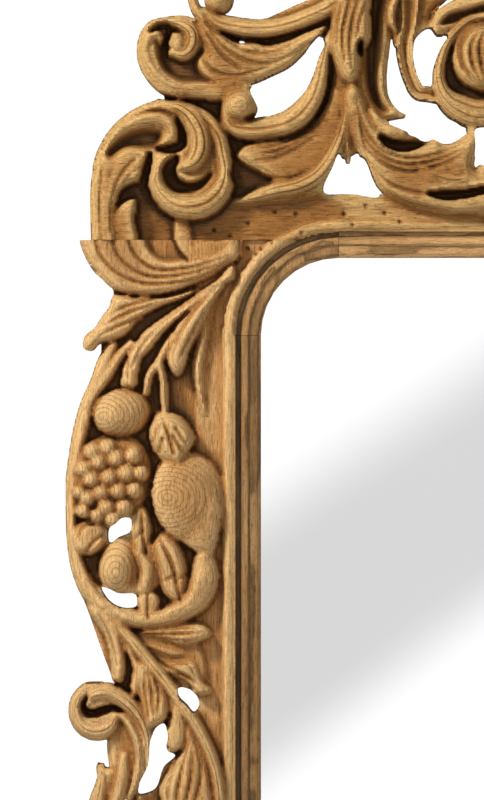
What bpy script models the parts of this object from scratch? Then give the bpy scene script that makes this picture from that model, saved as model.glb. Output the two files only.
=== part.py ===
"""Carved wall mirror: pierced crest, two stiles and a bottom rail round a moulded liner and a glass.

The frame stands in metres with +Z up, its carved front facing -Y and its flat back on the wall plane y = 0.
The origin is where the crest's back bears on the wall.
The carving is drawn on a sheet in millimetres, u to the right and v down, as strokes of a gouge.
Each stroke is a short run of (u, v, half width, height above the wall).
"""

import bmesh
import bpy
import numpy as np
from mathutils import Matrix, Vector

# Driving sizes, in metres
SIGHT_WIDTH = 0.598
SIGHT_HEIGHT = 1.190
SIGHT_RADIUS = 0.078
LINER_WIDTH = 0.026
LINER_BACK = 0.014
REBATE_WIDTH = 0.008
REBATE_DEPTH = 0.014
GLASS_THICKNESS = 0.004
BACKING_THICKNESS = 0.004
GAP = 0.0003
SIGHT_TOP = -0.057

# The drawing sheet, in millimetres: where the object's axes and edges lie on it
SHEET_CENTRE = 560.0
SHEET_SIGHT_SIDE = 261.0
SHEET_SIGHT_TOP = 257.0
SHEET_SEAM = 240.0
SHEET_MIDDLE = 852.0
SHEET_LEFT = 60.0
CREST_PEAK = -148.0
APRON_PEAK = 60.0
STILE_EDGE = 304.0
DRAW_STEP = 2.0
OUTLINE_STEP = 4.0
OUTLINE_MARGIN = 25.0
THINNEST = 8.0

# Steps in a rounded corner, and how far a cutter passes the boards, in metres
CORNER_STEPS = 8
TOOL_REACH = 0.2

# Faces kept on each board
CREST_SHARE = 0.046
STILE_SHARE = 0.033
RAIL_SHARE = 0.044

# Liner moulding: (distance in from its outer edge, height above the wall), in metres
LINER_PROFILE = (
    (0.0, 0.0215), (0.0045, 0.0225), (0.0065, 0.028), (0.010, 0.0295), (0.0125, 0.0295), (0.015, 0.027),
    (0.022, 0.0265), (LINER_WIDTH, 0.0245),
)

COLOURS = {
    "carved_wood": ((0.50, 0.31, 0.15), 0.62, 0.0),
    "liner_wood": ((0.32, 0.20, 0.10), 0.60, 0.0),
    "mirror_silver": ((0.86, 0.87, 0.88), 0.03, 1.0),
    "backing": ((0.28, 0.20, 0.13), 0.80, 0.0),
}

half_width = SIGHT_WIDTH / 2
seam_gap = GAP / 2 * 1000
seam_top = SIGHT_TOP + (SHEET_SIGHT_TOP - SHEET_SEAM) / 1000
middle_height = SIGHT_TOP - SIGHT_HEIGHT / 2
crest_stretch = half_width / ((SHEET_CENTRE - SHEET_SIGHT_SIDE) / 1000)
stile_stretch = (seam_top - middle_height) / ((SHEET_MIDDLE - SHEET_SEAM) / 1000)


# Carving engine

def spline(points, closed=False, step=DRAW_STEP):
    """Rows spaced by step on a smooth run through the given rows."""
    rows = np.array(points, float)
    if closed:
        rows = np.vstack([rows[-2:], rows, rows[:2]])
    gaps = np.maximum(np.hypot(*np.diff(rows[:, :2], axis=0).T), 1e-6)
    at = np.concatenate([[0.0], np.cumsum(gaps)])
    slopes = np.diff(rows, axis=0) / gaps[:, None]
    inner = slopes[1:] * gaps[:-1, None] + slopes[:-1] * gaps[1:, None]
    inner = inner / (gaps[1:] + gaps[:-1])[:, None]
    tangents = np.vstack([slopes[:1], inner, slopes[-1:]])
    low, high = (at[2], at[-2]) if closed else (at[0], at[-1])
    where = np.linspace(low, high, max(6, int((high - low) / step) + 1))
    i = np.clip(np.searchsorted(at, where, side="right") - 1, 0, len(gaps) - 1)
    g = gaps[i][:, None]
    x = (where - at[i])[:, None] / g
    start = (2 * x**3 - 3 * x**2 + 1) * rows[i] + (x**3 - 2 * x**2 + x) * g * tangents[i]
    end = (-2 * x**3 + 3 * x**2) * rows[i + 1] + (x**3 - x**2) * g * tangents[i + 1]
    return start + end


class Sheet:
    """A board's face: its height above the wall and its outline field, positive inside, in millimetres."""

    def __init__(self, low, high, step=DRAW_STEP):
        columns = int(round((high[0] - low[0]) / step / 2)) * 2
        lines = int(round((high[1] - low[1]) / step / 2)) * 2
        self.u = np.linspace(low[0], high[0], columns + 1)
        self.v = np.linspace(low[1], high[1], lines + 1)
        self.across, self.down = np.meshgrid(self.u, self.v, indexing="ij")
        self.height = np.zeros_like(self.across)
        self.field = np.full_like(self.across, -50.0)

    def window(self, low, high):
        a = np.searchsorted(self.u, [low[0], high[0]])
        b = np.searchsorted(self.v, [low[1], high[1]])
        return slice(a[0], a[1]), slice(b[0], b[1])

    def stroke(self, points, shape="round", edge=0.6, peak=0.0, moat=2.4, sink=4.5):
        """Lays one gouge stroke, cut in round its sides by a moat."""
        rows = spline(points)
        reach = rows[:, 2].max() + moat + 4
        w = self.window(rows[:, :2].min(0) - reach, rows[:, :2].max(0) + reach)
        if self.across[w].size == 0:
            return
        places = np.stack([self.across[w].ravel(), self.down[w].ravel()], 1)
        heading = np.gradient(rows[:, :2], axis=0)
        heading /= np.maximum(np.hypot(*heading.T), 1e-9)[:, None]
        width = np.maximum(rows[:, 2], 0.4)
        gap = places[:, None, :] - rows[None, :, :2]
        best = np.argmin((gap**2).sum(2) / width[None] ** 2, 1)
        off = places - rows[best, :2]
        along = np.clip((off * heading[best]).sum(1), -1.0, 1.0)
        off = off - along[:, None] * heading[best]
        side = np.sign(heading[best, 0] * off[:, 1] - heading[best, 1] * off[:, 0])
        form = self.across[w].shape
        away = (np.hypot(*off.T) - width[best]).reshape(form)
        across = (side * np.hypot(*off.T) / width[best]).reshape(form)
        crown = rows[best, 3].reshape(form)
        height, field = self.height[w], self.field[w]
        cut = np.maximum(np.minimum(height, THINNEST), height - sink * (1 - away / max(moat, 0.1)) ** 2)
        height[:] = np.where((away > 0) & (away < moat), cut, height)
        q = np.where(across > peak, (across - peak) / (1 - peak), (peak - across) / (1 + peak))
        q = np.clip(np.abs(q), 0, 1)
        if shape == "round":
            rise = np.sqrt(1 - q**2)
        elif shape == "soft":
            rise = 0.5 + 0.5 * np.cos(np.pi * q)
        elif shape == "ridge":
            rise = 1 - q
        else:
            lip = np.sqrt(np.clip(1 - ((q - 0.8) / 0.2) ** 2, 0, 1))
            rise = np.where(q < 0.8, 0.15 + 0.85 * (q / 0.8) ** 2, lip)
        raised = crown * (edge + (1 - edge) * rise)
        height[:] = np.where(away <= 0, np.maximum(height, raised), height)
        field[:] = np.maximum(field, -away)

    def ball(self, u, v, a, b, crown, edge=0.5, turn=0.0, tilt=(0, 0), moat=2.4, sink=5.0):
        """Lays a domed fruit or eye with half axes a and b, leaning with its tilt."""
        reach = max(a, b) + moat + 2
        w = self.window((u - reach, v - reach), (u + reach, v + reach))
        if self.across[w].size == 0:
            return
        c, s = np.cos(np.radians(turn)), np.sin(np.radians(turn))
        du, dv = self.across[w] - u, self.down[w] - v
        q = np.hypot((du * c + dv * s) / a, (-du * s + dv * c) / b)
        away = (q - 1) * min(a, b)
        height, field = self.height[w], self.field[w]
        cut = np.maximum(np.minimum(height, THINNEST), height - sink * (1 - away / max(moat, 0.1)) ** 2)
        height[:] = np.where((away > 0) & (away < moat), cut, height)
        raised = crown * (edge + (1 - edge) * np.sqrt(np.clip(1 - q**2, 0, 1))) - du * tilt[0] - dv * tilt[1]
        height[:] = np.where(q <= 1, np.maximum(height, raised), height)
        field[:] = np.maximum(field, -away)

    def outline(self, points):
        """The signed distance to a closed smooth outline, positive inside, and the window it covers."""
        rows = spline(points, closed=True, step=OUTLINE_STEP)
        w = self.window(rows.min(0) - OUTLINE_MARGIN, rows.max(0) + OUTLINE_MARGIN)
        places = np.stack([self.across[w].ravel(), self.down[w].ravel()], 1)
        inside = np.zeros(len(places), bool)
        nearest = np.full(len(places), 1e9)
        for a, b in zip(rows, np.roll(rows, -1, 0)):
            run = b - a
            crosses = (a[1] > places[:, 1]) != (b[1] > places[:, 1])
            if abs(run[1]) > 1e-12:
                inside ^= crosses & (places[:, 0] < run[0] * (places[:, 1] - a[1]) / run[1] + a[0])
            share = np.clip(((places - a) @ run) / max(run @ run, 1e-12), 0, 1)
            nearest = np.minimum(nearest, np.hypot(*(places - a - share[:, None] * run).T))
        return w, np.where(inside, nearest, -nearest).reshape(self.across[w].shape)

    def mass(self, points, height, soft=9.0, fall=6.0):
        """Fills an outline with wood that rounds off towards its edge."""
        w, field = self.outline(points)
        raised = height - fall * (1 - np.clip(field / soft, 0, 1)) ** 2
        self.height[w] = np.where(field > 0, np.maximum(self.height[w], raised), self.height[w])
        self.field[w] = np.maximum(self.field[w], field)

    def dish(self, points, low, soft):
        """Sinks an outline's inside to a low floor that rises to its edge over a soft width."""
        w, field = self.outline(points)
        share = np.clip(field / soft, 0, 1)
        share = share * share * (3 - 2 * share)
        sunk = np.minimum(self.height[w], low * share + self.height[w] * (1 - share))
        self.height[w] = np.where(field > 0, sunk, self.height[w])

    def scoop(self, points):
        """Hollows a pocket out of the wood: (u, v, half width, height left)."""
        rows = spline(points)
        reach = rows[:, 2].max() + 2
        w = self.window(rows[:, :2].min(0) - reach, rows[:, :2].max(0) + reach)
        if self.across[w].size == 0:
            return
        away = np.hypot(self.across[w][..., None] - rows[:, 0], self.down[w][..., None] - rows[:, 1])
        best = np.argmin(away / rows[:, 2], -1)
        q = np.take_along_axis(away, best[..., None], -1)[..., 0] / rows[best, 2]
        left = rows[best, 3] + 60 * np.clip(q - 0.45, 0, 1) ** 2
        self.height[w] = np.where(q < 1, np.minimum(self.height[w], left), self.height[w])

    def slab(self, low, high, height):
        """Fills a rectangle with board left flat at a height."""
        sides = [self.across - low[0], high[0] - self.across, self.down - low[1], high[1] - self.down]
        reach = np.minimum.reduce(sides)
        self.height = np.where(reach > 0, np.maximum(self.height, height), self.height)
        self.field = np.maximum(self.field, reach)

    def pierce(self, points):
        """Opens an outline right through the board."""
        w, field = self.outline(points)
        self.field[w] = np.minimum(self.field[w], -field)


# The drawing

SHELL_LOBES = ((0, 112, 11), (26, 106, 11), (50, 92, 11), (70, 74, 10))
GRAPES = ((92.6, 452, 7.5), (108, 448, 8), (99, 462, 8.5), (116, 458.5, 9), (133, 456, 8),
          (84.5, 469, 7.5), (92, 479, 8.5), (109, 477, 9), (126, 473, 9.5), (140.6, 473, 7.5),
          (101, 492.6, 8.5), (118, 490.6, 8.5), (134, 489.6, 8), (87.5, 498, 7.5), (79.4, 492.6, 5.5),
          (106, 507, 8.5), (124, 507, 8), (83.5, 511, 6.5), (97, 515, 6.5), (113, 519, 7.5))


def draw_corner(sheet):
    """The corner block: its C scroll, the ring that it curls into, and the lobes inside it."""
    stroke, mass = sheet.stroke, sheet.mass
    mass([(91, 300), (91, 240), (91, 185), (97, 150), (110, 130), (140, 108), (190, 104), (236, 112),
          (262, 130), (318, 128), (332, 150), (330, 200), (352, 300)], 16)
    mass([(196, 207), (232, 197), (280, 198), (318, 192), (340, 192), (340, 262), (176, 262),
          (184, 232)], 28, 5, 2)
    sheet.slab((322, 194), (620, 262), 28)
    mass([(164, 90), (232, 92), (244, 118), (226, 124), (190, 108), (166, 104)], 18, 5, 3)
    mass([(91, 300), (91, 240), (91, 182), (95, 158), (105, 136), (120, 119), (140, 106), (160, 100),
          (186, 104), (206, 114), (222, 132), (230, 152), (232, 178), (226, 200), (210, 216),
          (190, 221), (172, 217), (160, 206), (152, 192), (140, 181), (120, 193), (116, 206),
          (118, 300)], 45, 11, 9)
    sheet.dish([(103, 152), (114, 138), (130, 129), (152, 126), (164, 130), (160, 152), (126, 152),
                (108, 162)], 27, 9)
    stroke([(106, 152, 2, 40), (113, 138, 4, 45), (126, 127, 6, 48), (142, 121, 7.5, 50),
            (159, 120, 8, 51), (170, 126, 7, 51), (171, 136, 5, 48), (163, 143, 2, 44)], peak=-0.3)
    mass([(104, 196), (107, 172), (118, 154), (131, 150), (147, 152), (145, 166), (140, 181),
          (131, 184), (122, 190), (117, 203), (118, 300), (102, 300), (102, 230)], 47, 9, 10)
    mass([(135, 198), (124, 201), (117, 207), (116, 300), (146, 300), (139, 240), (135, 220)], 41, 7, 8)
    stroke([(160, 104, 5, 44), (186, 109, 8, 47), (206, 121, 9.5, 48), (219, 137, 9.5, 49),
            (223, 154, 8.5, 50), (226, 172, 9, 51), (221, 190, 12, 53), (208, 203, 14, 54),
            (192, 208, 13.5, 55), (176, 206, 12, 55), (163, 196, 10, 54), (156, 182, 8, 53),
            (157, 169, 6, 52), (164, 158, 5, 51), (174, 154, 3, 48)], peak=0.15)
    stroke([(166, 105, 5, 45), (181, 109, 8, 49), (193, 120, 11, 53), (200, 135, 12, 56),
            (200, 151, 12.5, 57), (193, 163, 10, 57), (181, 168, 4, 53)])
    sheet.scoop([(176, 158, 4, 20), (169, 170, 7, 16), (174, 183, 7, 16), (186, 188, 6, 18),
                 (201, 184, 4, 26), (211, 174, 2, 34)])
    sheet.scoop([(177, 120, 2, 26), (182, 133, 4, 18), (181, 144, 5, 15), (170, 149, 5, 15),
                 (158, 149, 3, 22)])
    sheet.scoop([(150, 154, 3, 20), (147, 168, 4, 14), (143, 188, 5, 14), (148, 204, 7, 15),
                 (156, 220, 8, 17), (150, 234, 6, 20)])
    sheet.scoop([(231, 130, 5, 16), (235, 142, 6, 14), (237, 154, 4, 16), (238, 178, 7, 14),
                 (248, 190, 6, 16)])
    stroke([(184, 256, 10, 36), (183, 234, 9.5, 37), (182, 222, 8, 35)], edge=0.85)


def draw_sweeping_leaves(sheet):
    """The band that ends in a ball, and the two leaves that sweep left under the trunk."""
    stroke, mass = sheet.stroke, sheet.mass
    mass([(312, 60), (322, 36), (338, 36), (345, 90), (334, 140), (300, 150), (262, 142), (310, 112)],
         20, 6, 4)
    mass([(236, 153), (244, 146), (262, 140), (290, 137), (312, 124), (326, 104), (334, 84), (348, 92),
          (349, 130), (340, 158), (331, 175), (324, 192), (300, 201), (276, 204), (236, 202),
          (254, 190), (272, 180), (262, 174)], 38, 9, 8)
    sheet.dish([(238, 166), (262, 174), (290, 176), (312, 168), (300, 178), (272, 181), (256, 189),
                (240, 196)], 16, 6)
    stroke([(236, 201, 2, 36), (254, 197, 6, 42), (275, 191, 9, 45), (298, 186, 10, 46),
            (317, 176, 10, 46), (329, 162, 9, 46), (338, 144, 8, 46), (344, 124, 6, 45),
            (347, 104, 4, 43)], moat=0)
    stroke([(229, 112, 9, 44), (231, 124, 10, 44), (246, 129, 11.5, 44), (266, 128, 12, 44),
            (285, 124, 12.5, 46), (299, 116, 13, 47), (310, 103, 12, 47), (317, 88, 11, 47),
            (321, 70, 9, 46), (325, 52, 6.5, 44), (330, 34, 5, 42)], peak=0.15)
    sheet.ball(239, 105, 19, 19, 54, edge=0.45, moat=1.2)
    sheet.scoop([(246, 119, 2, 30), (253, 117, 4, 24), (259, 112, 3, 26)])


def draw_upper_scroll(sheet):
    """The small scroll over the corner, its curled eye, its leaves and the branch above them."""
    stroke, mass = sheet.stroke, sheet.mass
    mass([(192, 18), (163, 17.5), (150, 21), (142, 30), (137, 45), (138, 62), (146, 78), (160, 92),
          (173, 98), (200, 100), (236, 100), (252, 90), (225, 60), (206, 40)], 44, 9, 8)
    sheet.dish([(153, 44), (150, 34), (158, 25), (172, 22), (196, 24), (200, 40), (206, 52), (200, 62),
                (206, 74), (220, 83), (196, 85), (180, 84), (164, 74), (156, 60)], 27, 7)
    stroke([(198, 20, 2, 42), (178, 20, 3, 45), (160, 23, 4.5, 46), (148, 33, 6, 47), (144, 47, 7, 47),
            (147, 61, 6.5, 47), (155, 73, 6, 47), (167, 83, 5, 46), (182, 89, 5, 45), (205, 91, 5, 44),
            (236, 90, 5, 43)], peak=-0.2, moat=1.0)
    stroke([(170, 22, 3, 45), (183, 25, 7, 48), (192, 33, 9.5, 50), (192, 45, 10, 51), (184, 54, 8, 50),
            (173, 53, 5, 48)], moat=1.2)
    sheet.ball(177, 43, 9, 11, 50, edge=0.8, turn=-20, moat=1.2)
    stroke([(146, 46, 4, 46), (150, 38, 5, 49), (157, 35, 4.5, 49), (161, 41, 3.5, 47)], moat=1.2)
    sheet.scoop([(151, 31, 2, 26), (160, 26, 3.5, 18), (168, 27, 3.5, 18), (168, 36, 3.5, 14),
                 (164, 46, 3, 18), (167, 56, 2.5, 24)])
    mass([(206, 20), (240, 24), (330, 4), (334, 26), (322, 36), (290, 50), (250, 54), (220, 44)], 24, 5,
         4)
    mass([(201, 17), (197, 26), (199, 40), (206, 51), (200, 59), (205, 71), (218, 79), (236, 84),
          (253, 83), (270, 76), (290, 66), (308, 49), (321, 36), (328, 26), (308, 31), (283, 42),
          (263, 45), (250, 40), (240, 42), (228, 37), (213, 27)], 47, 10, 9)
    stroke([(204, 12, 5, 42), (218, 22, 9, 44), (238, 27, 10, 45), (260, 29, 10, 45), (283, 26, 10, 45),
            (306, 18, 10, 46), (328, 8, 10, 46), (346, -5, 11, 46), (362, -24, 10, 44)], peak=0.1)
    stroke([(194, -30, 6, 40), (193, 0, 5, 43), (198, 12, 5, 44), (204, 20, 3, 42)])
    sheet.ball(219, -3, 15, 17, 50, moat=1.4)
    stroke([(213, -24, 12, 42), (228, -46, 11, 43), (250, -52, 11, 44), (263, -42, 9, 45),
            (258, -29, 7, 45)])
    sheet.ball(243, -33, 10, 10, 50, edge=0.55)


def draw_trunk(sheet):
    """The trunk with its hanging leaf, its hollow flank and the leaves at its head."""
    stroke, mass = sheet.stroke, sheet.mass
    mass([(328, 40), (334, -10), (352, -60), (396, -60), (392, 30), (389, 56), (387, 82), (390, 99),
          (398, 110), (407, 116), (398, 118), (385, 121), (372, 130), (360, 150), (342, 158),
          (330, 120), (332, 80)], 34, 7, 8)
    sheet.dish([(362, 60), (366, 0), (370, -50), (386, -50), (384, 20), (382, 60), (381, 88),
                (388, 104), (396, 112), (384, 115), (372, 106), (365, 90)], 15, 9)
    stroke([(352, 88, 6, 45), (348, 110, 7, 46), (347, 136, 6, 44), (348.5, 164, 1.5, 38)], "ridge",
           0.75, moat=1.2)
    mass([(330, 30), (336, -10), (350, -44), (372, -46), (371, 10), (368, 45), (362, 50), (361, 66),
          (358, 78), (351, 84), (343, 80), (335, 66), (330, 50)], 53, 12, 13)
    sheet.scoop([(361, 43, 2.5, 16), (359.5, 49, 3, 14), (361, 54, 2, 18)])
    stroke([(398, -6, 4, 44), (392, 10, 4.5, 46), (392, 22, 4, 46), (395, 30, 2, 42)], moat=1.5)


def draw_right_leaf(sheet):
    """The broad leaf that hooks twice on its way from the trunk to the centre."""
    stroke, mass = sheet.stroke, sheet.mass
    mass([(350, 84), (358, 84), (364, 95), (371, 110), (381, 122), (399, 127), (407, 134), (415, 137),
          (428, 141), (436, 138), (444, 144), (452, 143), (461, 138), (469, 130), (477, 132),
          (476, 168), (500, 166), (600, 168), (600, 214), (484, 216), (436, 213), (411, 207),
          (391, 198), (381, 190), (371, 176), (359, 153), (350, 140)], 47, 13, 12)
    stroke([(424, 200, 5, 42), (450, 206, 7, 45), (484, 205, 8, 46), (520, 203, 8, 45),
            (580, 200, 8, 43)], moat=1.2)
    stroke([(420, 168, 6, 46), (440, 178, 8, 49), (455, 181, 9, 50), (465, 179, 5, 49)], moat=1.4)
    stroke([(372, 112, 4, 44), (380, 124, 7, 47), (391, 131, 7.5, 49), (402, 134, 5, 48)], moat=1.2)
    sheet.scoop([(381, 137, 2.5, 18), (390, 143, 5, 11), (403, 146, 6, 10), (416, 144, 5, 11),
                 (429, 141, 2, 18)])
    sheet.scoop([(428, 193.5, 1.5, 28), (440, 195, 4.5, 19), (455, 195, 5, 16), (470, 193, 4.5, 17),
                 (484, 190, 4, 19), (504, 188, 3, 22)])
    stroke([(472, 118, 4, 40), (472, 132, 5, 41), (471, 150, 5, 42)], edge=0.8)
    stroke([(484, 172, 8, 44), (515, 171, 8, 45), (560, 172, 8, 43)])


def draw_volute(sheet):
    """The crest's volute with its leafy bud, and the tendril and leaf tip beside it."""
    stroke, mass = sheet.stroke, sheet.mass
    mass([(390, -60), (392, 30), (396, 46), (414, 42), (430, 28), (434, 12), (446, 0), (470, -20),
          (470, -60)], 32, 8, 8)
    stroke([(404, -40, 12, 40), (410, 0, 10, 41), (409, 25, 8, 41), (405, 45, 8.5, 40),
            (406, 60, 7.5, 40), (411, 78, 7, 40), (419, 92, 7, 41), (430, 94, 7, 42), (440, 97, 6, 43)],
           "hollow", 0.72)
    sheet.ball(486, 66, 50, 56, 24, edge=0.9, moat=0.1)
    mass([(431, 38), (430, 24), (436, 12), (450, 2), (484, -8), (520, -4), (520, 22), (484, 12),
          (466, 17), (448, 32)], 44, 9, 8)
    sheet.dish([(438, 26), (446, 14), (466, 8), (500, 4), (500, 12), (470, 16), (450, 26)], 26, 5)
    stroke([(486, 16, 6, 43), (470, 20, 6, 44), (457, 30, 6, 45), (447, 43, 6, 46), (441, 58, 6.5, 47),
            (438.5, 74, 7, 48), (441, 88, 8.5, 49), (449, 100, 11, 50), (461, 108, 14, 51),
            (475, 113, 15, 52), (490, 113, 15, 52), (506, 106, 13, 50), (519, 94, 11, 49),
            (528, 78, 9, 48), (532, 60, 8, 47), (530, 42, 7, 46), (522, 27, 7, 45), (510, 17, 6, 44),
            (498, 13, 5, 43)], moat=1.5)
    mass([(484, 22), (468, 26), (457, 37), (452, 52), (453, 68), (460, 81), (473, 90), (490, 92),
          (507, 84), (516, 66), (516, 46), (505, 28)], 58, 16, 20)


def draw_plainer_top(sheet):
    """What rises over the view: running scrolls, a central drop and a low shell at the peak."""
    stroke = sheet.stroke
    stroke([(505, 116, 10, 40), (520, 130, 10, 42), (532, 148, 9, 42), (545, 168, 9, 40)])
    stroke([(378, -36, 10, 40), (392, -52, 10, 41), (418, -62, 10, 42), (450, -60, 10, 43),
            (482, -46, 10, 43), (508, -26, 10, 42), (526, -4, 9, 40), (534, 20, 8, 38)])
    stroke([(366, -20, 9, 38), (340, -34, 9, 39), (312, -42, 9, 40), (284, -46, 9, 40),
            (262, -56, 8, 40)])
    stroke([(300, -46, 6, 34), (318, -62, 9, 38), (344, -74, 10, 40), (372, -74, 9, 40),
            (392, -64, 8, 38)])
    stroke([(430, -62, 6, 34), (452, -82, 9, 38), (478, -94, 9, 40), (500, -92, 8, 40),
            (512, -82, 6, 38)])
    stroke([(452, -56, 7, 36), (468, -30, 9, 40), (476, -6, 8, 42), (480, 14, 6, 42)])
    stroke([(560, 200, 12, 36), (560, 168, 16, 42), (560, 130, 17, 46), (560, 92, 14, 48),
            (560, 60, 6, 46)])
    for across, rise, wide in SHELL_LOBES:
        stroke([(SHEET_CENTRE - across * 0.15, 30, 5, 42),
                (SHEET_CENTRE - across * 0.55, -20 - rise * 0.4, wide * 0.75, 48),
                (SHEET_CENTRE - across, -6 - rise, wide, 50),
                (SHEET_CENTRE - across, -16 - rise, wide * 0.6, 46)])
    sheet.ball(SHEET_CENTRE, 28, 17, 17, 54)


def draw_crest(sheet):
    """The pierced crest from the corner to the centre line."""
    draw_corner(sheet)
    draw_plainer_top(sheet)
    draw_upper_scroll(sheet)
    draw_sweeping_leaves(sheet)
    draw_volute(sheet)
    draw_right_leaf(sheet)
    draw_trunk(sheet)


def crest_openings():
    """The outlines that are cut right through the crest."""
    return (
        ((250, 88), (270, 79), (285, 72), (303, 55), (313, 41), (321, 34.5), (324, 38), (318, 60),
         (312, 78), (306, 90), (288, 107), (262, 115), (256, 104)),
        ((340, 153), (333, 166), (324, 192), (350, 193.5), (380, 195), (374, 179), (360, 156),
         (354, 158), (348.5, 163), (343, 158)),
        ((392, 52), (399, 66), (404, 81), (413, 96), (426, 102.5), (435, 102), (446, 115), (460, 123),
         (468, 131), (456, 140), (444, 144), (432, 139), (415, 136), (404, 131), (388, 123), (407, 116),
         (394, 103), (388, 85)),
        ((431, 27), (417, 36), (413, 51), (415, 68), (422, 83), (431, 85), (434, 68), (441, 48),
         (448, 34), (438, 35)),
        ((476, 128), (475, 145), (476, 160), (484, 166), (510, 166), (526, 160), (518, 146), (505, 130),
         (490, 126)),
        ((238, 40), (243, 39), (246, 42), (241, 44)),
    )


def draw_stile(sheet):
    """The stile from the corner to its middle: scroll, leaves, nest of fruit and lower hook."""
    draw_stile_leaves(sheet)
    draw_nest(sheet)
    draw_falling_leaves(sheet)


def draw_stile_leaves(sheet):
    """The C scroll that leaves the corner and the leaves that spring from it."""
    stroke, mass = sheet.stroke, sheet.mass
    sheet.slab((196, 200), (304, 870), 24)
    mass([(84, 180), (82, 250), (94, 272), (113, 290), (108, 312), (101, 345), (101, 370), (84, 412),
          (70, 465), (66, 505), (70, 560), (90, 618), (112, 678), (132, 720), (134, 900), (230, 920),
          (230, 180)], 20, 5, 4)
    mass([(80, 200), (81, 243), (87, 260), (99, 276), (113, 289), (138, 296), (168, 293), (199, 282),
          (228, 266), (242, 254), (236, 236), (236, 200)], 43, 10, 9)
    sheet.dish([(142, 236), (146, 250), (158, 262), (190, 262), (226, 250), (232, 236)], 30, 6)
    mass([(174, 226), (175, 240), (180, 252), (188, 260), (214, 259), (239, 257), (239, 226),
          (200, 222)], 40, 4, 2.5)
    mass([(199, 289), (168, 296), (140, 297), (112, 297), (109, 307), (102, 316), (96, 326), (84, 338),
          (84, 349), (91, 351), (99, 344), (112, 341), (121, 338), (140, 320), (159, 308), (190, 295)],
         43, 9, 10)
    mass([(150, 341), (158, 336), (166, 352), (160, 380), (146, 386), (143, 366)], 22, 4, 3)
    mass([(234, 266), (214, 282), (190, 298), (168, 314), (146, 330), (130, 350), (122, 372),
          (122, 388), (135, 388), (139, 372), (142, 360), (153, 347), (168, 329), (190, 310),
          (214, 290), (236, 274)], 45, 8, 9)
    stroke([(130, 344, 5, 38), (118, 358, 6, 40), (107, 376, 6, 40), (96, 394, 5, 38)], moat=1.5)
    mass([(228, 280), (206, 296), (190, 310), (174, 329), (168, 347), (166, 360), (170, 370),
          (177, 376), (184, 369), (190, 351), (203, 326), (214, 300)], 47, 9, 10)
    stroke([(224, 282, 2, 28), (212, 306, 5, 33), (203, 340, 6, 36), (198, 372, 6, 36),
            (201, 396, 4, 33), (205, 414, 1.5, 30)], "ridge", 0.8, moat=1.2)
    mass([(180, 380), (192, 362), (196, 392), (206, 416), (214, 440), (196, 432)], 20, 4, 2)


def draw_nest(sheet):
    """The nest's rim, the twigs, and the fruit and leaves that lie in it."""
    stroke, mass = sheet.stroke, sheet.mass
    stroke([(112, 346, 6, 36), (104, 362, 7, 38), (98, 382, 8, 39), (89, 402, 8, 39), (82, 425, 8, 38),
            (76, 452, 7, 38), (72, 480, 6.5, 37), (71, 510, 5.5, 36), (73, 545, 6, 37),
            (80, 572, 8, 39), (92, 594, 10, 42), (110, 612, 11, 44), (132, 619, 10, 45),
            (156, 620, 10, 46), (180, 612, 12, 47), (198, 597, 14, 47), (205, 577, 15, 47),
            (205, 560, 11, 45)], peak=-0.25, moat=1.5)
    stroke([(172, 334, 3, 38), (165, 348, 4.5, 42), (159, 362, 5, 44), (150, 374, 4.5, 44),
            (146, 392, 4, 43)], moat=1.2)
    stroke([(159, 362, 5, 44), (163, 380, 4.5, 44), (165, 412, 4, 45)], moat=1.2)
    mass([(80, 448), (104, 436), (136, 438), (152, 466), (146, 500), (130, 518), (104, 527), (80, 516),
          (72, 490)], 40, 12, 10)
    sheet.ball(122, 413, 30, 25, 54, edge=0.5, turn=-12, tilt=(0.25, 0))
    for u, v, r in GRAPES:
        sheet.ball(u, v, r * 1.24, r * 1.24, 51 + 0.5 * r, edge=0.64, moat=0.8, sink=3)
    mass([(152, 468), (190, 440), (232, 450), (232, 560), (196, 552), (160, 530)], 20, 5, 3)
    sheet.ball(190, 498, 48, 38, 56, edge=0.6, turn=76, tilt=(0.25, 0))
    stroke([(192, 510, 30, 52), (198, 527, 22, 50), (204, 541, 13, 47), (210, 552, 4, 42)], edge=0.72,
           moat=1)
    mass([(160, 412), (175, 413), (186, 421), (195, 437), (190, 453), (182, 468), (166, 464),
          (152, 448), (149, 431)], 56, 13, 17)
    mass([(100, 556), (108, 542), (124, 534), (150, 540), (160, 556), (156, 590), (140, 596),
          (116, 594), (102, 580)], 38, 8, 8)
    sheet.ball(119, 566, 20, 28, 53, edge=0.5, turn=14, tilt=(0.15, 0))
    stroke([(138, 552, 6, 44), (147, 568, 9, 46), (144, 588, 8, 44)], moat=1.2)
    mass([(72, 532), (84, 520), (100, 518), (108, 530), (104, 548), (90, 556), (74, 552)], 44, 9, 14)
    mass([(130, 514), (144, 506), (151, 520), (150, 545), (146, 560), (136, 556), (130, 540)], 43, 9, 12)
    mass([(138, 596), (150, 590), (160, 598), (158, 612), (148, 622), (140, 614)], 43, 7, 9)
    mass([(153, 541), (163, 532), (174, 536), (187, 562), (188, 588), (180, 606), (164, 596),
          (156, 574)], 45, 11, 16)


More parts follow.
